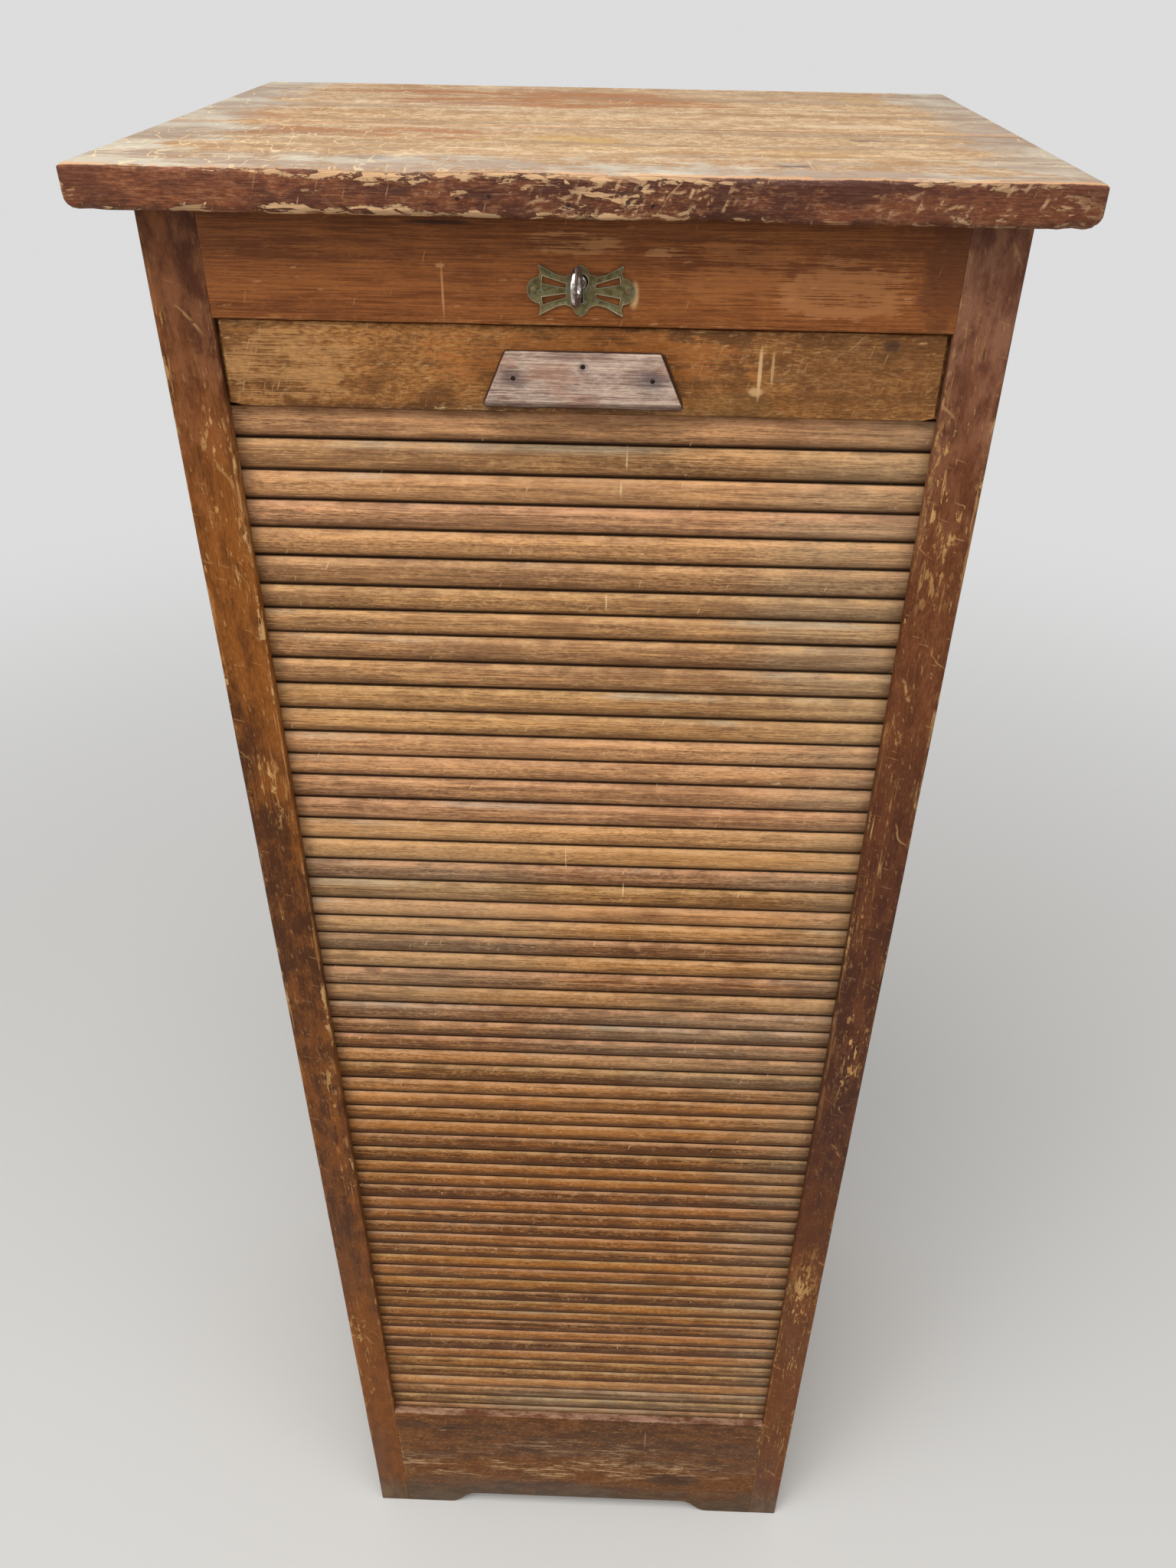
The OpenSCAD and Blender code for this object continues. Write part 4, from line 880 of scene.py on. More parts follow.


# The curtain: slats of pine, flat behind and softly rounded in front, glued side by side to coarse
# linen canvas. No two are quite as high, as straight or as dark, and dust and a painted sheen lie on
# their upper edges.
slat_low, slat_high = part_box("tambour_slats")
slat_count = 62
slat_gap, slat_crown, slat_squareness, slat_unevenness = 0.0007, 0.0028, 2.7, 0.085
slat_tree = bpy.data.node_groups.new("slats", "GeometryNodeTree")
for label, kind in (("Length", "Float"), ("Height", "Float"), ("Count", "Int"), ("Gap", "Float"),
                    ("Thickness", "Float"), ("Crown", "Float"), ("Squareness", "Float"),
                    ("Unevenness", "Float"), ("Seed", "Int"), ("Wood", "Material")):
    slat_tree.interface.new_socket(label, in_out="INPUT", socket_type="NodeSocket" + kind)
slat_tree.interface.new_socket("Slats", in_out="OUTPUT", socket_type="NodeSocketGeometry")
g = Graph(slat_tree)
take, give = g.ends()
profile_points, length_points = 16, 21
index = g.add("GeometryNodeInputIndex", {})
t = g.add("ShaderNodeMath", {0: index - 1.0, 1: profile_points - 3.0}, operation="DIVIDE", use_clamp=True)
from_centre = g.math("ABSOLUTE", g.scaled(t, 2.0, -1.0))
round_face = g.math("POWER", from_centre, take["Squareness"]) * take["Crown"]
mid_point = (profile_points - 1) / 2
at_back = g.math("COMPARE", g.math("ABSOLUTE", index - mid_point), mid_point, 0.1)
depth = g.add("ShaderNodeMix", {0: at_back, 2: round_face, 3: take["Thickness"]})
share_h = take["Height"] / take["Count"]
slat_h = share_h - take["Gap"]
outline = g.add("GeometryNodeMeshLine", {"Count": profile_points})
section = g.join(depth * -1.0, t * slat_h * -1.0, 0.0)
outline = g.add("GeometryNodeSetPosition", {"Geometry": outline, "Position": section})
outline = g.add("GeometryNodeMeshToCurve", {0: outline})
outline = g.add("GeometryNodeSetSplineCyclic", {0: outline, "Cyclic": True})
x_share = index / (length_points - 1.0) - 0.5
run = g.add("GeometryNodeMeshLine", {"Count": length_points})
across = g.join(x_share * take["Length"], 0.0, 0.0)
run = g.add("GeometryNodeSetPosition", {"Geometry": run, "Position": across})
run = g.add("GeometryNodeSetCurveNormal", {0: g.add("GeometryNodeMeshToCurve", {0: run})}, mode="Z_UP")
slat = g.add("GeometryNodeCurveToMesh", {"Curve": run, "Profile Curve": outline, "Fill Caps": True})
height_in = g.parts(g.add("GeometryNodeInputPosition", {}))[2] / slat_h
slat = g.add("GeometryNodeStoreNamedAttribute", {"Geometry": slat, "Name": "up", "Value": height_in})
spread = take["Unevenness"]
size = g.add("FunctionNodeRandomValue", {2: 1.0 - spread, 3: 1.0 + spread, "Seed": take["Seed"]}, 1)
trailing, total = g.add("GeometryNodeAccumulateField", {0: size}, ("Trailing", "Total"))
row = g.add("GeometryNodeMeshLine", {"Count": take["Count"]})
start = g.join(0.0, 0.0, trailing / total * take["Height"])
row = g.add("GeometryNodeSetPosition", {"Geometry": row, "Position": start})
tilt = g.add("FunctionNodeRandomValue", {2: -0.0011, 3: 0.0011, "Seed": take["Seed"] + 1.0}, 1)
row = g.add("GeometryNodeInstanceOnPoints", {"Points": row, "Instance": slat,
                                             "Rotation": g.join(0.0, tilt, 0.0),
                                             "Scale": g.join(1.0, 1.0, size / total * take["Count"])})
for label, extra in (("tone", 2.0), ("tint", 3.0)):
    chance = g.add("FunctionNodeRandomValue", {"Seed": take["Seed"] + extra}, 1)
    store = {"Geometry": row, "Name": label, "Value": chance}
    row = g.add("GeometryNodeStoreNamedAttribute", store, domain="INSTANCE")
row = g.add("GeometryNodeRealizeInstances", {0: row})
row = g.add("GeometryNodeSetMaterial", {"Geometry": row, "Material": take["Wood"]})
g.feed(give["Slats"], row)


def grown(name, tree, values, body_mesh=None):
    """The plain mesh that a node tree makes from these inputs."""
    holder = bpy.data.objects.new(name + "_maker", body_mesh or bpy.data.meshes.new(name + "_maker"))
    bpy.context.scene.collection.objects.link(holder)
    maker = holder.modifiers.new("tree", "NODES")
    maker.node_group = tree
    for item in tree.interface.items_tree:
        if item.in_out == "INPUT" and item.name in values:
            maker[item.identifier] = values[item.name]
    bpy.context.view_layer.update()
    graph = bpy.context.evaluated_depsgraph_get()
    mesh = bpy.data.meshes.new_from_object(holder.evaluated_get(graph), preserve_all_data_layers=True,
                                           depsgraph=graph)
    bpy.data.objects.remove(holder)
    return mesh


f = Finish("slat_stain", (slat_low, slat_high), "x")
tone_of, tint_of, up_of = [f.add("ShaderNodeAttribute", {}, 2, attribute_name=label)
                           for label in ("tone", "tint", "up")]
own_point = f.vector("ADD", f.point, f.join(tone_of * 9.0, tint_of * 2.0, 0.0))
f.grain(4, 0.005, (0, 0.12, 0.04), own_point)
pale_slat = f.mix(tint_of, tone(220, 158, 108), tone(212, 156, 88))
dark_slat = f.mix(tint_of, tone(112, 68, 40), tone(112, 68, 24))
streak = f.fibre * 0.48 + (f.mottle * 0.08 + f.cloud * 0.14)
streak = f.rise(streak + tone_of * 0.44, 0.20, 0.92)
colour = f.mix(streak, dark_slat, pale_slat)
x, _, z = f.parts(f.place)
# painted light: the upper slats are painted paler towards the top
high_up = f.rise(z + f.cloud * 0.06, 0.84, 1.08)
colour = f.mix(high_up * 0.13, colour, tone(255, 206, 160))
low_down = f.rise(z + f.cloud * 0.06, 0.94, 0.56)
low_down = low_down * f.scaled(f.rise(z, 0.22, 0.34), 0.4, 0.6)
colour = f.mix(low_down * 0.9, colour, f.mix(streak, tone(74, 38, 4), tone(180, 112, 42)))
orange_zone = f.frayed(f.mark((-0.02, slat_low.y, 0.545), (0.16, 1, 0.10), 0.8, 0.8, 16.0) * 0.7)
colour = f.mix(orange_zone * 0.3, colour, tone(150, 82, 26))
colour = f.mix(f.rings * 0.25, colour, tone(92, 52, 24))
colour = f.gritty(colour, 0.3, tone(78, 44, 20), tone(224, 182, 132))
colour = f.mix(f.flecks * 0.6, colour, tone(58, 32, 16))
smear = f.frayed(f.rise(f.noise(own_point, (9, 70, 70), 4.0, 0.6), 0.52, 0.70))
colour = f.mix(smear * 0.3, colour, tone(92, 54, 28))
dusty = f.rise(x + f.cloud * 0.05, 0.12, 0.21)
for middle, reach in (((-0.120, slat_low.y, 0.84), (0.10, 1, 0.09)),
                      ((0.16, slat_low.y, 1.10), (0.06, 1, 0.10)),
                      ((0.10, slat_low.y, 0.73), (0.12, 1, 0.05)),
                      ((0.03, slat_low.y, 0.20), (0.16, 1, 0.03))):
    dusty = f.either(dusty, f.mark(middle, reach, 0.8, 0.5, 14.0))
dusty = dusty * f.scaled(f.fibre, 0.22, 0.10)
colour = f.mix(dusty, colour, tone(164, 158, 132))
upper = f.rise(f.scaled(low_down, -0.12, up_of), 0.66, 0.88) * f.rise(up_of, 1.0, 0.96)
# painted highlight: a pale band along the upper round of each slat
lit = upper * f.scaled(f.mottle, 0.6, f.scaled(low_down, 0.35, 0.2))
colour = f.mix(lit * 0.8, colour, f.mix(tint_of, tone(230, 172, 130), tone(224, 178, 122)))
# the grey on the upper round of each slat: partly dust, partly painted sheen
dust_and_sheen = upper * f.rise(f.noise(own_point, (6, 25, 25), 4.0, 0.6) + dusty * 0.25, 0.56, 0.70)
colour = f.mix(dust_and_sheen * f.scaled(f.fibre, 0.6, 0.4) * 0.5, colour, tone(182, 180, 160))
# painted shade: the lower part of each slat is darkened, more so in the lower slats
below = f.rise(f.scaled(low_down, -0.22, up_of + f.mottle * 0.10), 0.50, 0.16)
colour = f.mix(below * f.scaled(low_down, 0.42, 0.38), colour, tone(80, 42, 10))
# painted shade: dark lines at the foot and head of each slat, in the gaps between the slats
gap_shade = f.either(f.rise(up_of, 0.15, 0.04), f.rise(up_of, 0.965, 0.995))
colour = f.mix(gap_shade * 0.85, colour, tone(40, 22, 10))
# painted shadow: the slats darken at their ends, behind the edges of the posts
end_shadow = f.rise(f.math("ABSOLUTE", x) + f.mottle * 0.006, 0.184, 0.196)
colour = f.mix(end_shadow * 0.5, colour, tone(84, 56, 34))
ticks = f.scratched(7, (0.3, 1.2, -0.3), 0.02, 0.006, 0.0004, 0.01, 0.10)
ticks = f.either(ticks, f.group("chips", Point=f.point, Seed=4.0, Size=240.0, Level=0.81)[0])
for middle, reach in (((0.0252, slat_low.y, 1.1842), (0.0005, 1, 0.0050)),
                      ((0.0222, slat_low.y, 1.1668), (0.0006, 1, 0.0040)),
                      ((0.0150, slat_low.y, 1.0980), (0.0004, 1, 0.0045)),
                      ((0.168, slat_low.y, 0.190), (0.0016, 1, 0.0035)),
                      ((-0.010, slat_low.y, 0.905), (0.0004, 1, 0.0080)),
                      ((0.030, slat_low.y, 0.880), (0.0004, 1, 0.0060))):
    ticks = f.either(ticks, f.mark(middle, reach, 1.6, 0.5, 420.0))
colour = f.mix(ticks * 0.75, colour, tone(232, 200, 150))
roughness = f.scaled(f.cloud, 0.16, 0.44)
relief = f.scaled(f.fibre, 0.6, f.flecks * -0.5)
slat_wood = f.surface(colour, roughness, relief, 0.0004, shine=0.16)

slat_values = {"Length": slat_high.x - slat_low.x, "Height": slat_high.z - slat_low.z, "Count": slat_count,
               "Gap": slat_gap, "Thickness": slat_high.y - slat_low.y, "Crown": slat_crown,
               "Squareness": slat_squareness, "Unevenness": slat_unevenness, "Seed": 5, "Wood": slat_wood}
mesh = grown("slats", slat_tree, slat_values)
mesh.transform(Matrix.Translation((0, slat_low.y, slat_low.z)))
slats = placed("curtain_slats", mesh, slat_wood, 40)
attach(slats, "cabinet")
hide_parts("tambour_slats")
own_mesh(slats)

low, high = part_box("tambour_canvas")
cloth = Finish("canvas_weave", (low, high), "x")
weave = []
for axis, pitch in ((0, 0.0011), (2, 0.0012)):
    wave = cloth.math("SINE", cloth.parts(cloth.place)[axis] * (math.tau / pitch))
    weave.append(cloth.scaled(wave, 0.5, 0.5))
slub = cloth.noise(cloth.place, (300, 300, 300), 3.0)
knit = cloth.scaled(slub, 0.5, weave[0] * weave[1] * 0.8)
canvas_paint = cloth.mix(cloth.rise(knit, 0.2, 0.8), tone(120, 104, 78), tone(186, 170, 136))
canvas_weave = cloth.surface(canvas_paint, 0.9, knit, 0.0003)
sheet_y = (low.y + high.y) / 2
steps_x, steps_z, cloth_half = 30, 80, 0.00035
columns = np.linspace(low.x, high.x, steps_x + 1)
rows = np.linspace(low.z, high.z, steps_z + 1)
front_skin = np.array([[(x, sheet_y, z) for x in columns] for z in rows])
ripple, slat_pitch = 0.00008, 0.017
front_skin[:, :, 1] += ripple * np.sin(front_skin[:, :, 2] * math.tau / slat_pitch)
work = bmesh.new()
layers = []
for shift in (-cloth_half, cloth_half):
    layers.append([[work.verts.new((p[0], p[1] + shift, p[2])) for p in row] for row in front_skin])
for i in range(steps_z):
    for j in range(steps_x):
        for k, layer in enumerate(layers):
            around = (layer[i][j], layer[i][j + 1], layer[i + 1][j + 1], layer[i + 1][j])
            work.faces.new(around if k == 0 else around[::-1])
rim = [(0, j) for j in range(steps_x)] + [(i, steps_x) for i in range(steps_z)]
rim += [(steps_z, j) for j in range(steps_x, 0, -1)] + [(i, 0) for i in range(steps_z, 0, -1)]
for (i, j), (m, n) in zip(rim, rim[1:] + rim[:1]):
    work.faces.new((layers[1][i][j], layers[1][m][n], layers[0][m][n], layers[0][i][j]))
bmesh.ops.recalc_face_normals(work, faces=work.faces)
mesh = bpy.data.meshes.new("canvas")
work.to_mesh(mesh)
work.free()
canvas = placed("curtain_canvas", mesh, canvas_weave)
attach(canvas, "cabinet")
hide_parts("tambour_canvas")
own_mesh(canvas)


# The lead rail: a wide board of pine with a tongue at its back that runs in the grooves. Hands have
# worn its stain to streaky gold round the handle, and it is scratched all over.
low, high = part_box("lead_rail")
rail_half, rail_r, tongue_y = 0.188, 0.004, slat_low.y
front_board = board(oblong(low.y, low.z, tongue_y, high.z), [0.0011, 0, 0, 0.0007], -rail_half, rail_half,
                    "x", 131, 0.006, 0.0007)
to_corner = rail_half - np.abs(front_board[:, :, 0])
front_board[:, :, 2] = np.maximum(front_board[:, :, 2], low.z + round_in(to_corner, rail_r))
tongue = board(oblong(tongue_y, low.z, high.y, high.z), [0.0003] * 4, low.x, high.x, "x", 132, 0.02, 0.0004)
f = Finish("lead_rail_stain", (Vector((-rail_half, low.y, low.z)), Vector((rail_half, high.y, high.z))), "x")
colour, roughness, height = varnished(f, 131, tone(104, 62, 24), tone(172, 114, 56), tone(218, 176, 122),
                                      chipped=0.775, size=230.0, nicked=0.5, ring=0.006,
                                      pith=(0, 0.03, -0.07), worn=0.2, lined=0.2, streaky=0.2, grit=0.45)
hatch = f.scratched(133, (0.5, 1.3, 0.3), 0.0040, 0.0060, 0.00040, 0.004, 0.7)
hatch = f.either(hatch, f.scratched(136, (1.3, 0.2, 0.1), 0.0034, 0.0070, 0.00036, 0.004, 0.7))
hatch = hatch * f.rise(f.noise(f.point, (26, 55, 55), 3.0, 0.6), 0.40, 0.60)
colour = f.mix(hatch * 0.35, colour, tone(212, 168, 114))
olive_grime = f.frayed(f.rise(f.noise(f.place, (14, 14, 30), 5.0, 0.65), 0.46, 0.74))
colour = f.mix(olive_grime * 0.35, colour, tone(96, 72, 36))
lead_marks = [
    ((0.0, low.y, 1.236), (0.088, 1, 0.020), 0.5, tone(170, 98, 40)),
    ((-0.155, low.y, 1.232), (0.040, 1, 0.020), 0.45, tone(196, 148, 94)),
    ((0.150, low.y, 1.232), (0.050, 1, 0.022), 0.45, tone(96, 60, 30)),
    ((0.0935, low.y, 1.2340), (0.0010, 1, 0.013), 0.8, tone(222, 182, 130)),
    ((0.0925, low.y, 1.2235), (0.0038, 1, 0.0020), 0.75, tone(214, 170, 118)),
    ((0.100, low.y, 1.2350), (0.0008, 1, 0.008), 0.6, tone(214, 170, 118)),
    ((0.1600, low.y, 1.2475), (0.0050, 1, 0.0030), 0.7, tone(56, 34, 18))]
colour = marked(f, colour, lead_marks, 0.9, 90.0, 0.02)
lead_rail = skinned("lead_rail_wood", [front_board, tongue], f.surface(colour, roughness, height, 0.0005))
link_low, link_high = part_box("link_plate")
cut(lead_rail, [block("sink_tool", (link_low.y, link_high.y + past), (link_low.z, high.z + past),
                      (link_low.x, link_high.x))])
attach(lead_rail, "curtain_rail")
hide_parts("lead_rail")


# The handle: a block of hard pale wood with sloping ends and a finger hold behind its upper edge,
# nailed on. Its face is bare and grey-pink, the ends keep their dark stain, and iron stains it.
low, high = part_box("handle")
centre_x, foot_half, head_half = (low.x + high.x) / 2, (high.x - low.x) / 2, 0.040
hold_drop, corner_r = 0.005, 0.0045
outline = [(low.y, low.z - 0.001), (high.y, low.z - 0.001), (high.y, high.z - hold_drop), (low.y, high.z)]
rings = board(outline, [0.0028, 0.0003, 0.0006, 0.0014], -foot_half, foot_half, "x", 141, step=0.004,
              end_r=0.0022, uneven=0.15, arc=5)
way = (rings[:, :, 2] - low.z) / (high.z - low.z)
corner = np.clip(1 - (rings[:, :, 2] - low.z + 0.001) / corner_r, 0, 1)
half_width = foot_half + (head_half - foot_half) * way - corner_r * (1 - np.sqrt(1 - corner ** 2))
rings[:, :, 0] = centre_x + rings[:, :, 0] * half_width / foot_half
f = Finish("handle_finish", (low, high), "x")
f.grain(141, 0.003, (0, 0.02, -0.05))
streak = f.fibre * 0.55 + (f.cloud * 0.20 + f.mottle * 0.25)
colour = f.mix(f.rise(streak, 0.08, 0.85), tone(138, 108, 94), tone(210, 184, 164))
colour = f.gritty(colour, 0.3, tone(112, 86, 74), tone(226, 204, 184))
colour = f.mix(f.rings * 0.25, colour, tone(118, 88, 74))
colour = f.mix(f.flecks * 0.55, colour, tone(84, 62, 54))
pinkish = f.frayed(f.rise(f.noise(f.place, (30, 30, 90), 4.0), 0.50, 0.70))
colour = f.mix(pinkish * 0.35, colour, tone(176, 122, 96))
nail_low, nail_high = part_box("handle_nails")
nail_r, outer_nail_z, middle_nail_z = 0.0011, 1.2315, 1.2380
nail_spots = [(nail_low.x + nail_r, outer_nail_z), (centre_x, middle_nail_z),
              (nail_high.x - nail_r, outer_nail_z)]
for (x, z), reach in zip(nail_spots, ((0.0065, 0.0040), (0.0024, 0.0026), (0.0078, 0.0046))):
    iron_stain = f.mark((x, low.y, z), (reach[0], 1, reach[1]), 0.9, 0.7, 150.0)
    colour = f.mix(iron_stain * 0.62, colour, tone(64, 58, 68))
frontal = f.scaled(f.noise(f.place, (150, 150, 150), 3.0), 0.3, f.parts(f.facing)[1] * -1.0)
frontal = f.rise(frontal, 0.84, 1.04)
outer_rim = f.rise(f.parts(f.place)[2], low.z + 0.0035, low.z + 0.0012)
frontal = frontal * (1.0 - outer_rim * 0.7)
side_paint = f.mix(f.fibre, tone(40, 22, 14), tone(80, 48, 28))
colour = f.mix(frontal, side_paint, colour)
relief = f.scaled(f.fibre, 0.6, f.flecks * -0.6)
handle = skinned("handle_wood", [rings], f.surface(colour, f.scaled(frontal, 0.15, 0.5), relief, 0.0004))
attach(handle, "curtain_rail")
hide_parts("handle")


# Nails, pins and screws, turned from dark iron or brass. The nails of the handle are sunk into it, the
# pins of the escutcheon have low round heads, and the screws have slots and rusty heads.
fixing_tree = bpy.data.node_groups.new("fixings", "GeometryNodeTree")
fixing_tree.interface.new_socket("Places", in_out="INPUT", socket_type="NodeSocketGeometry")
for label, kind in (("Head Radius", "Float"), ("Head Height", "Float"), ("Shank Radius", "Float"),
                    ("Shank Length", "Float"), ("Slot", "Float"), ("Facing", "Vector"), ("Seed", "Int"),
                    ("Metal", "Material")):
    fixing_tree.interface.new_socket(label, in_out="INPUT", socket_type="NodeSocket" + kind)
fixing_tree.interface.new_socket("Fixings", in_out="OUTPUT", socket_type="NodeSocketGeometry")
g = Graph(fixing_tree)
take, give = g.ends()
levels = 9
plain_rod = {"Vertices": 20, "Side Segments": levels, "Radius": 1.0, "Depth": 1.0}
rod = g.add("GeometryNodeMeshCylinder", plain_rod)
x, y, z = g.parts(g.add("GeometryNodeInputPosition", {}))
level = g.math("ROUND", (z + 0.5) * levels)
turn = g.add("ShaderNodeMath", {0: level - 3.0, 1: (levels - 3) / QUARTER}, operation="DIVIDE")
head_r = g.math("POWER", g.either(g.math("COSINE", turn), 0.0), 0.7) * take["Head Radius"]
head_z = g.math("SINE", turn) * take["Head Height"]
shank_r = g.math("MINIMUM", level + 0.15, 1.0) * take["Shank Radius"]
shank_z = (level * level * 0.3 - (level * 0.1 + 1.0)) * take["Shank Length"]
in_head = g.math("GREATER_THAN", level, 2.5)
radius = g.add("ShaderNodeMix", {0: in_head, 2: shank_r, 3: head_r})
height = g.add("ShaderNodeMix", {0: in_head, 2: shank_z, 3: head_z})
turned = g.join(x * radius, y * radius, height)
rod = g.add("GeometryNodeSetPosition", {"Geometry": rod, "Position": turned})
rod = g.add("GeometryNodeMergeByDistance", {"Geometry": rod, "Distance": 0.000005})
size = g.join(take["Head Radius"] * 3.0, take["Slot"], take["Head Height"] * 1.1)
blade = g.add("GeometryNodeMeshCube", {"Size": size})
to_head = g.join(0.0, 0.0, take["Head Height"])
blade = g.add("GeometryNodeTransform", {"Geometry": blade, "Translation": to_head})
both = {"Mesh 1": rod, "Mesh 2": blade}
slotted = g.add("GeometryNodeMeshBoolean", both, operation="DIFFERENCE", solver="EXACT")
has_slot = g.math("GREATER_THAN", take["Slot"], 0.00001)
rod = g.add("GeometryNodeSwitch", {"Switch": has_slot, "False": rod, "True": slotted})
facing = g.add("FunctionNodeAlignRotationToVector", {"Vector": take["Facing"]}, axis="Z")
spin = g.add("FunctionNodeRandomValue", {3: math.tau, "Seed": take["Seed"]}, 1)
spin = g.add("FunctionNodeAxisAngleToRotation", {"Axis": (0, 0, 1), "Angle": spin})
facing = g.add("FunctionNodeRotateRotation", {"Rotation": facing, "Rotate By": spin}, rotation_space="LOCAL")
row = g.add("GeometryNodeInstanceOnPoints", {"Points": take["Places"], "Instance": rod, "Rotation": facing})
row = g.add("GeometryNodeRealizeInstances", {0: row})
g.feed(give["Fixings"], g.add("GeometryNodeSetMaterial", {"Geometry": row, "Material": take["Metal"]}))


def iron(name, box, pale, dark, rust, metallic=0.75, rusty=0.5):
    """Old metal: dull and smooth in places, brown with rust in others."""
    f = Finish(name, box)
    grain = f.noise(f.place, (420, 420, 420), 5.0, 0.6)
    patch = f.rise(f.noise(f.place, (130, 130, 130), 4.0, 0.6), 0.62 - rusty * 0.25, 0.72 - rusty * 0.2)
    colour = f.mix(f.rise(grain, 0.35, 0.65), dark, pale)
    colour = f.mix(patch * 0.85, colour, rust)
    shine = f.scaled(grain, 0.3, f.scaled(patch, 0.35, 0.22))
    return f.surface(colour, shine, grain, 0.0001, f.scaled(patch, -0.6 * metallic, metallic), 0.5)


def fixings(node, places, body, facing, metal, head_r, head_h, shank_r, shank_l, slot=0.0):
    """Replaces a node of nails, pins or screws by finer ones, whose heads sit at these places."""
    holder = bpy.data.meshes.new(node + "_places")
    holder.from_pydata(places, [], [])
    values = {"Head Radius": head_r, "Head Height": head_h, "Shank Radius": shank_r, "Shank Length": shank_l,
              "Slot": slot, "Facing": facing, "Seed": 3, "Metal": metal}
    thing = placed(node + "_turned", grown(node, fixing_tree, values, holder), metal)
    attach(thing, body)
    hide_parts(node)


dark_iron = (tone(120, 112, 106), tone(58, 52, 48), tone(92, 58, 40))
sunk = 0.0008
low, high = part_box("handle_nails")
nail_places = [(x, low.y + sunk, z) for x, z in nail_spots]
nail_metal = iron("nail_iron", (low, high), *dark_iron, rusty=0.9)
fixings("handle_nails", nail_places, "curtain_rail", (0, -1, 0), nail_metal, head_r=nail_r, head_h=0.0003,
        shank_r=0.0008, shank_l=high.y - low.y - 0.001)
sinks = []
sink_r = 0.00125
turn = np.linspace(0, math.tau, 21)[:-1]
for x, _, z in nail_places:
    around = [(x + sink_r * math.cos(a), z + sink_r * math.sin(a)) for a in turn]
    hole = np.array([[(u, y, v) for u, v in around] for y in (low.y - 0.001, low.y + sunk)])
    sinks.append(skinned("sink", [hole], handle.data.materials[0]))
cut(handle, sinks)

low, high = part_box("top_screws")
screw_metal = iron("top_screw_steel", (low, high), *dark_iron, rusty=0.6)
screw_places = [(x, y, low.z) for x in (low.x + 0.002, high.x - 0.002)
                for y in (low.y + 0.002, high.y - 0.002)]
fixings("top_screws", screw_places, "cabinet", (0, 0, -1), screw_metal, head_r=0.0036, head_h=0.0011,
        shank_r=0.0019, shank_l=high.z - low.z - 0.001, slot=0.0008)


# The escutcheon: a pierced plate of cast brass with a raised rim, pinned on round the keyhole. It has
# turned olive and brown. Its rims are paler, partly where a cloth reaches and partly by painted highlight.
low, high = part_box("escutcheon")
work = bmesh.new()
work.from_mesh(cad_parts["escutcheon"].data)
bmesh.ops.remove_doubles(work, verts=work.verts, dist=1e-6)
bmesh.ops.dissolve_limit(work, angle_limit=math.radians(1), verts=work.verts, edges=work.edges)
bmesh.ops.triangulate(work, faces=[face for face in work.faces if len(face.verts) > 4])
front = [face for face in work.faces if face.normal.y < -0.9]
bmesh.ops.inset_region(work, faces=front, thickness=0.0002, depth=0.0, use_even_offset=True)


def at_rim(face):
    """Whether a face of the front touches an edge that leads down the plate's sides."""
    edges = [edge for vert in face.verts for edge in vert.link_edges]
    return any(edge.is_boundary or abs(edge.verts[0].co.y - edge.verts[1].co.y) > 1e-4 for edge in edges)


front = [face for face in work.faces if face.normal.y < -0.9 and not at_rim(face)]
bmesh.ops.inset_region(work, faces=front, thickness=0.00025, depth=-0.00035, use_even_offset=True)
mesh = bpy.data.meshes.new("escutcheon_cast")
work.to_mesh(mesh)
work.free()
f = Finish("escutcheon_patina", (low, high))
grain = f.noise(f.place, (900, 900, 900), 4.0, 0.6)
patch = f.noise(f.place, (240, 240, 240), 5.0, 0.6)
colour = f.mix(f.rise(patch, 0.38, 0.60), tone(88, 76, 44), tone(122, 112, 74))
greenish = f.rise(f.noise(f.place, (330, 330, 330), 4.0), 0.55, 0.68)
colour = f.mix(greenish * 0.6, colour, tone(120, 134, 112))
colour = f.mix(f.rise(patch, 0.56, 0.66) * 0.5, colour, tone(104, 66, 38))
y = f.parts(f.place)[1]
# the paler rims: partly rubbed by a cloth, partly a painted highlight
rim = f.rise(y + (grain - 0.5) * 0.0002, low.y + 0.00020, low.y + 0.00002)
colour = f.mix(rim * 0.75, colour, tone(172, 168, 138))
colour = f.mix(f.rise(y, low.y + 0.0004, low.y + 0.0009), colour, tone(66, 54, 32))
shine = f.scaled(rim, -0.15, f.scaled(patch, 0.3, 0.35))
patina = f.surface(colour, shine, f.scaled(grain, 0.5, patch), 0.0002, 0.5, 0.4)
escutcheon = placed("escutcheon_cast", mesh, patina, 25)
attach(escutcheon, "cabinet")
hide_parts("escutcheon")

low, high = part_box("escutcheon_pins")
pin_places = [(x, low.y + 0.0002, (low.z + high.z) / 2) for x in (low.x + 0.001, high.x - 0.001)]
pin_metal = iron("pin_brass", (low, high), tone(132, 112, 76), tone(84, 66, 42), tone(96, 64, 40), 0.7, 0.4)
fixings("escutcheon_pins", pin_places, "cabinet", (0, -1, 0), pin_metal, head_r=0.0016, head_h=0.0006,
        shank_r=0.0009, shank_l=high.y - low.y - 0.001)


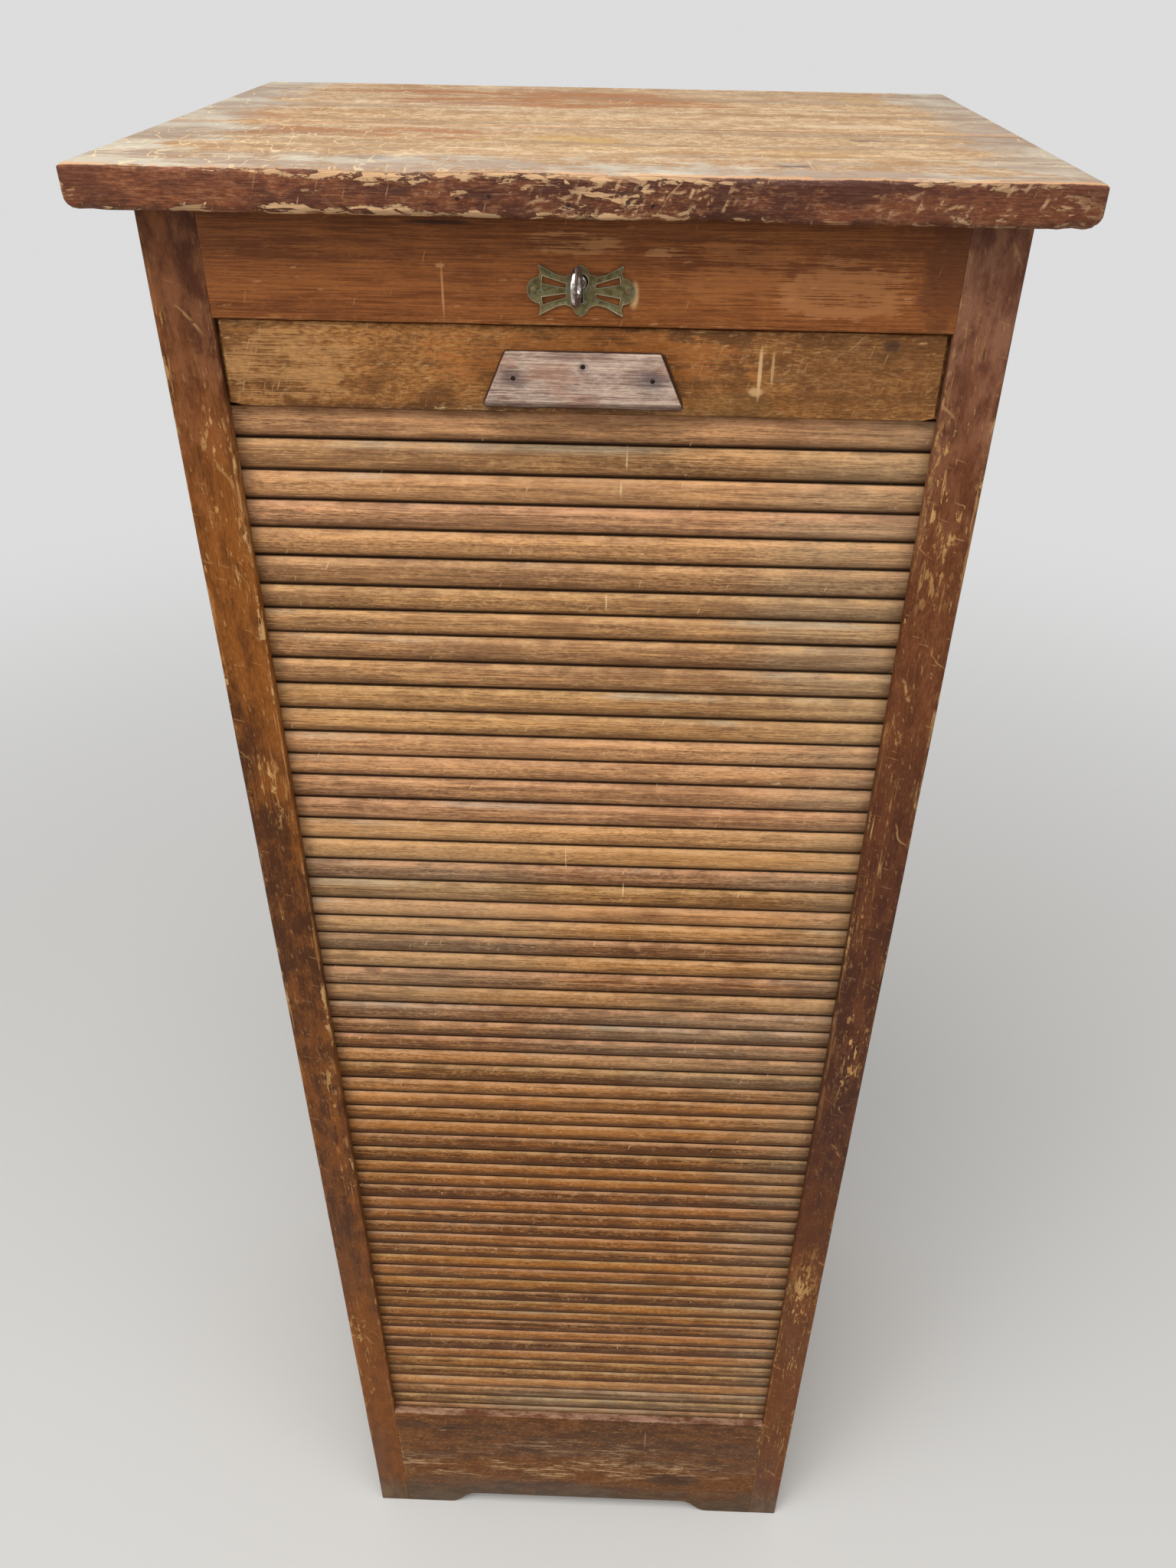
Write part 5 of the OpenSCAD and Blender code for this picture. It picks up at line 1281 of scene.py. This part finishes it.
# The lock: a steel case let into the back of the rail from below, with its cap, bolt and leaf spring,
# and the brass link plate with its staple on the lead rail. All are dull and rusty in patches.
lock_paints = (tone(150, 146, 140), tone(96, 90, 84), tone(98, 66, 46))
for node in ("lock_case", "lock_cap", "lock_bolt", "lock_spring"):
    dress(node, iron(node + "_steel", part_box(node), *lock_paints))
link_paints = (tone(170, 142, 86), tone(112, 92, 54), tone(96, 78, 50))
dress("link_plate", iron("link_brass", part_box("link_plate"), *link_paints, metallic=0.85, rusty=0.4))
low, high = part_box("link_screws")
screw_places = [(x, (low.y + high.y) / 2, high.z) for x in (low.x + 0.0014, high.x - 0.0014)]
screw_metal = iron("link_screw_steel", (low, high), *dark_iron)
fixings("link_screws", screw_places, "curtain_rail", (0, 0, 1), screw_metal, head_r=0.0019, head_h=0.0004,
        shank_r=0.0013, shank_l=0.0105, slot=0.0006)
low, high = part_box("lock_screws")
screw_places = [(x, high.y, z) for x in (low.x + 0.0014, high.x - 0.0014)
                for z in (low.z + 0.0014, high.z - 0.0014)]
screw_metal = iron("lock_screw_steel", (low, high), *dark_iron)
fixings("lock_screws", screw_places, "cabinet", (0, 1, 0), screw_metal, head_r=0.0023, head_h=0.0009,
        shank_r=0.0013, shank_l=0.0095, slot=0.0006)


# The key: a forged steel ring, shank and bit. The ring stands upright and is worn bright where
# fingers turn it. It is brown and tarnished in patches and in the corners, with painted shade on its right
# side.
low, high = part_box("key")
ring_r, wire_r, shank_r, collar_r = 0.0095, 0.0018, 0.0020, 0.0029
ring_y = low.y + ring_r


def hoop(middle, radius, section):
    """Rings of a hoop that stands in the plane across X; its section is (across, outwards)."""
    rings = []
    for a in np.linspace(0, math.tau, 65)[:-1]:
        out = radius + section[:, 1]
        deep, up = middle[1] + out * math.cos(a), middle[2] + out * math.sin(a)
        rings.append(np.column_stack([section[:, 0] + middle[0], deep, up]))
    return np.array(rings)


turn = np.linspace(0, math.tau, 25)[:-1]
squarish = np.column_stack([np.sign(np.cos(turn)) * np.abs(np.cos(turn)) ** 0.8 * wire_r,
                            np.sign(np.sin(turn)) * np.abs(np.sin(turn)) ** 0.8 * wire_r])
ring_skin = hoop((0, ring_y, key_z), ring_r - wire_r, squarish)

# the ring leans to the left as it comes forward
lean = 0.13
ring_skin[:, :, 0] += lean * (ring_skin[:, :, 1] - cabinet_face)
shank_start = ring_y + ring_r - 0.6 * wire_r

# the shank's profile with a collar of two rings: the place along it and the radius
collar_y = cabinet_face - 0.0039
profile = [(shank_start, 0.0016), (shank_start + 0.0008, shank_r), (collar_y, shank_r),
           (collar_y + 0.0001, 0.0026), (collar_y + 0.0003, collar_r), (collar_y + 0.0007, collar_r),
           (collar_y + 0.0009, 0.0024), (collar_y + 0.0011, 0.0024), (collar_y + 0.0013, collar_r),
           (collar_y + 0.0016, collar_r), (collar_y + 0.0018, shank_r), (high.y - 0.0006, shank_r),
           (high.y - 0.0002, 0.0017), (high.y, 0.0012)]
turn = np.linspace(0, math.tau, 29)[:-1]
shank_skin = np.array([np.column_stack([r * np.cos(turn), np.full(28, y), key_z + r * np.sin(turn)])
                       for y, r in profile])
bit_half, bit_slack, bit_foot = 0.0009, 0.0004, high.z - 0.0180
bolt_low, bolt_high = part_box("lock_bolt")
bit_skin = board(oblong(-bit_half, bolt_low.y - bit_slack, bit_half, bolt_high.y + bit_slack), [0.0002] * 4,
                 bit_foot, key_z, "z", step=0.003, end_r=0.0002)
f = Finish("key_steel", (low, high))
grain = f.noise(f.place, (700, 700, 700), 4.0, 0.6)
patch = f.noise(f.place, (260, 260, 260), 4.0, 0.62)
# tarnished patches and painted shade: brown in patches, and where the surface faces right
tarnish_and_shade = f.rise(f.parts(f.facing)[0] * 0.42 + patch, 0.52, 0.66)
colour = f.mix(f.rise(grain, 0.35, 0.65), tone(176, 170, 162), tone(214, 210, 204))
colour = f.mix(tarnish_and_shade * 0.9, colour, f.mix(f.rise(grain, 0.4, 0.6), tone(72, 48, 38), tone(120, 92, 76)))
key_metal = f.surface(colour, f.scaled(tarnish_and_shade, 0.3, grain * 0.45), grain, 0.0001,
                      f.scaled(tarnish_and_shade, -0.35, 1.0), 0.5)
ring = skinned("key_ring", [ring_skin], key_metal, closed=True)
shank = skinned("key_shank", [shank_skin, bit_skin], key_metal)
for piece in (ring, shank):
    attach(piece, "key")
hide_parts("key")
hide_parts("key")


# The box round all the pieces that are shown, and the end.
low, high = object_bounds()
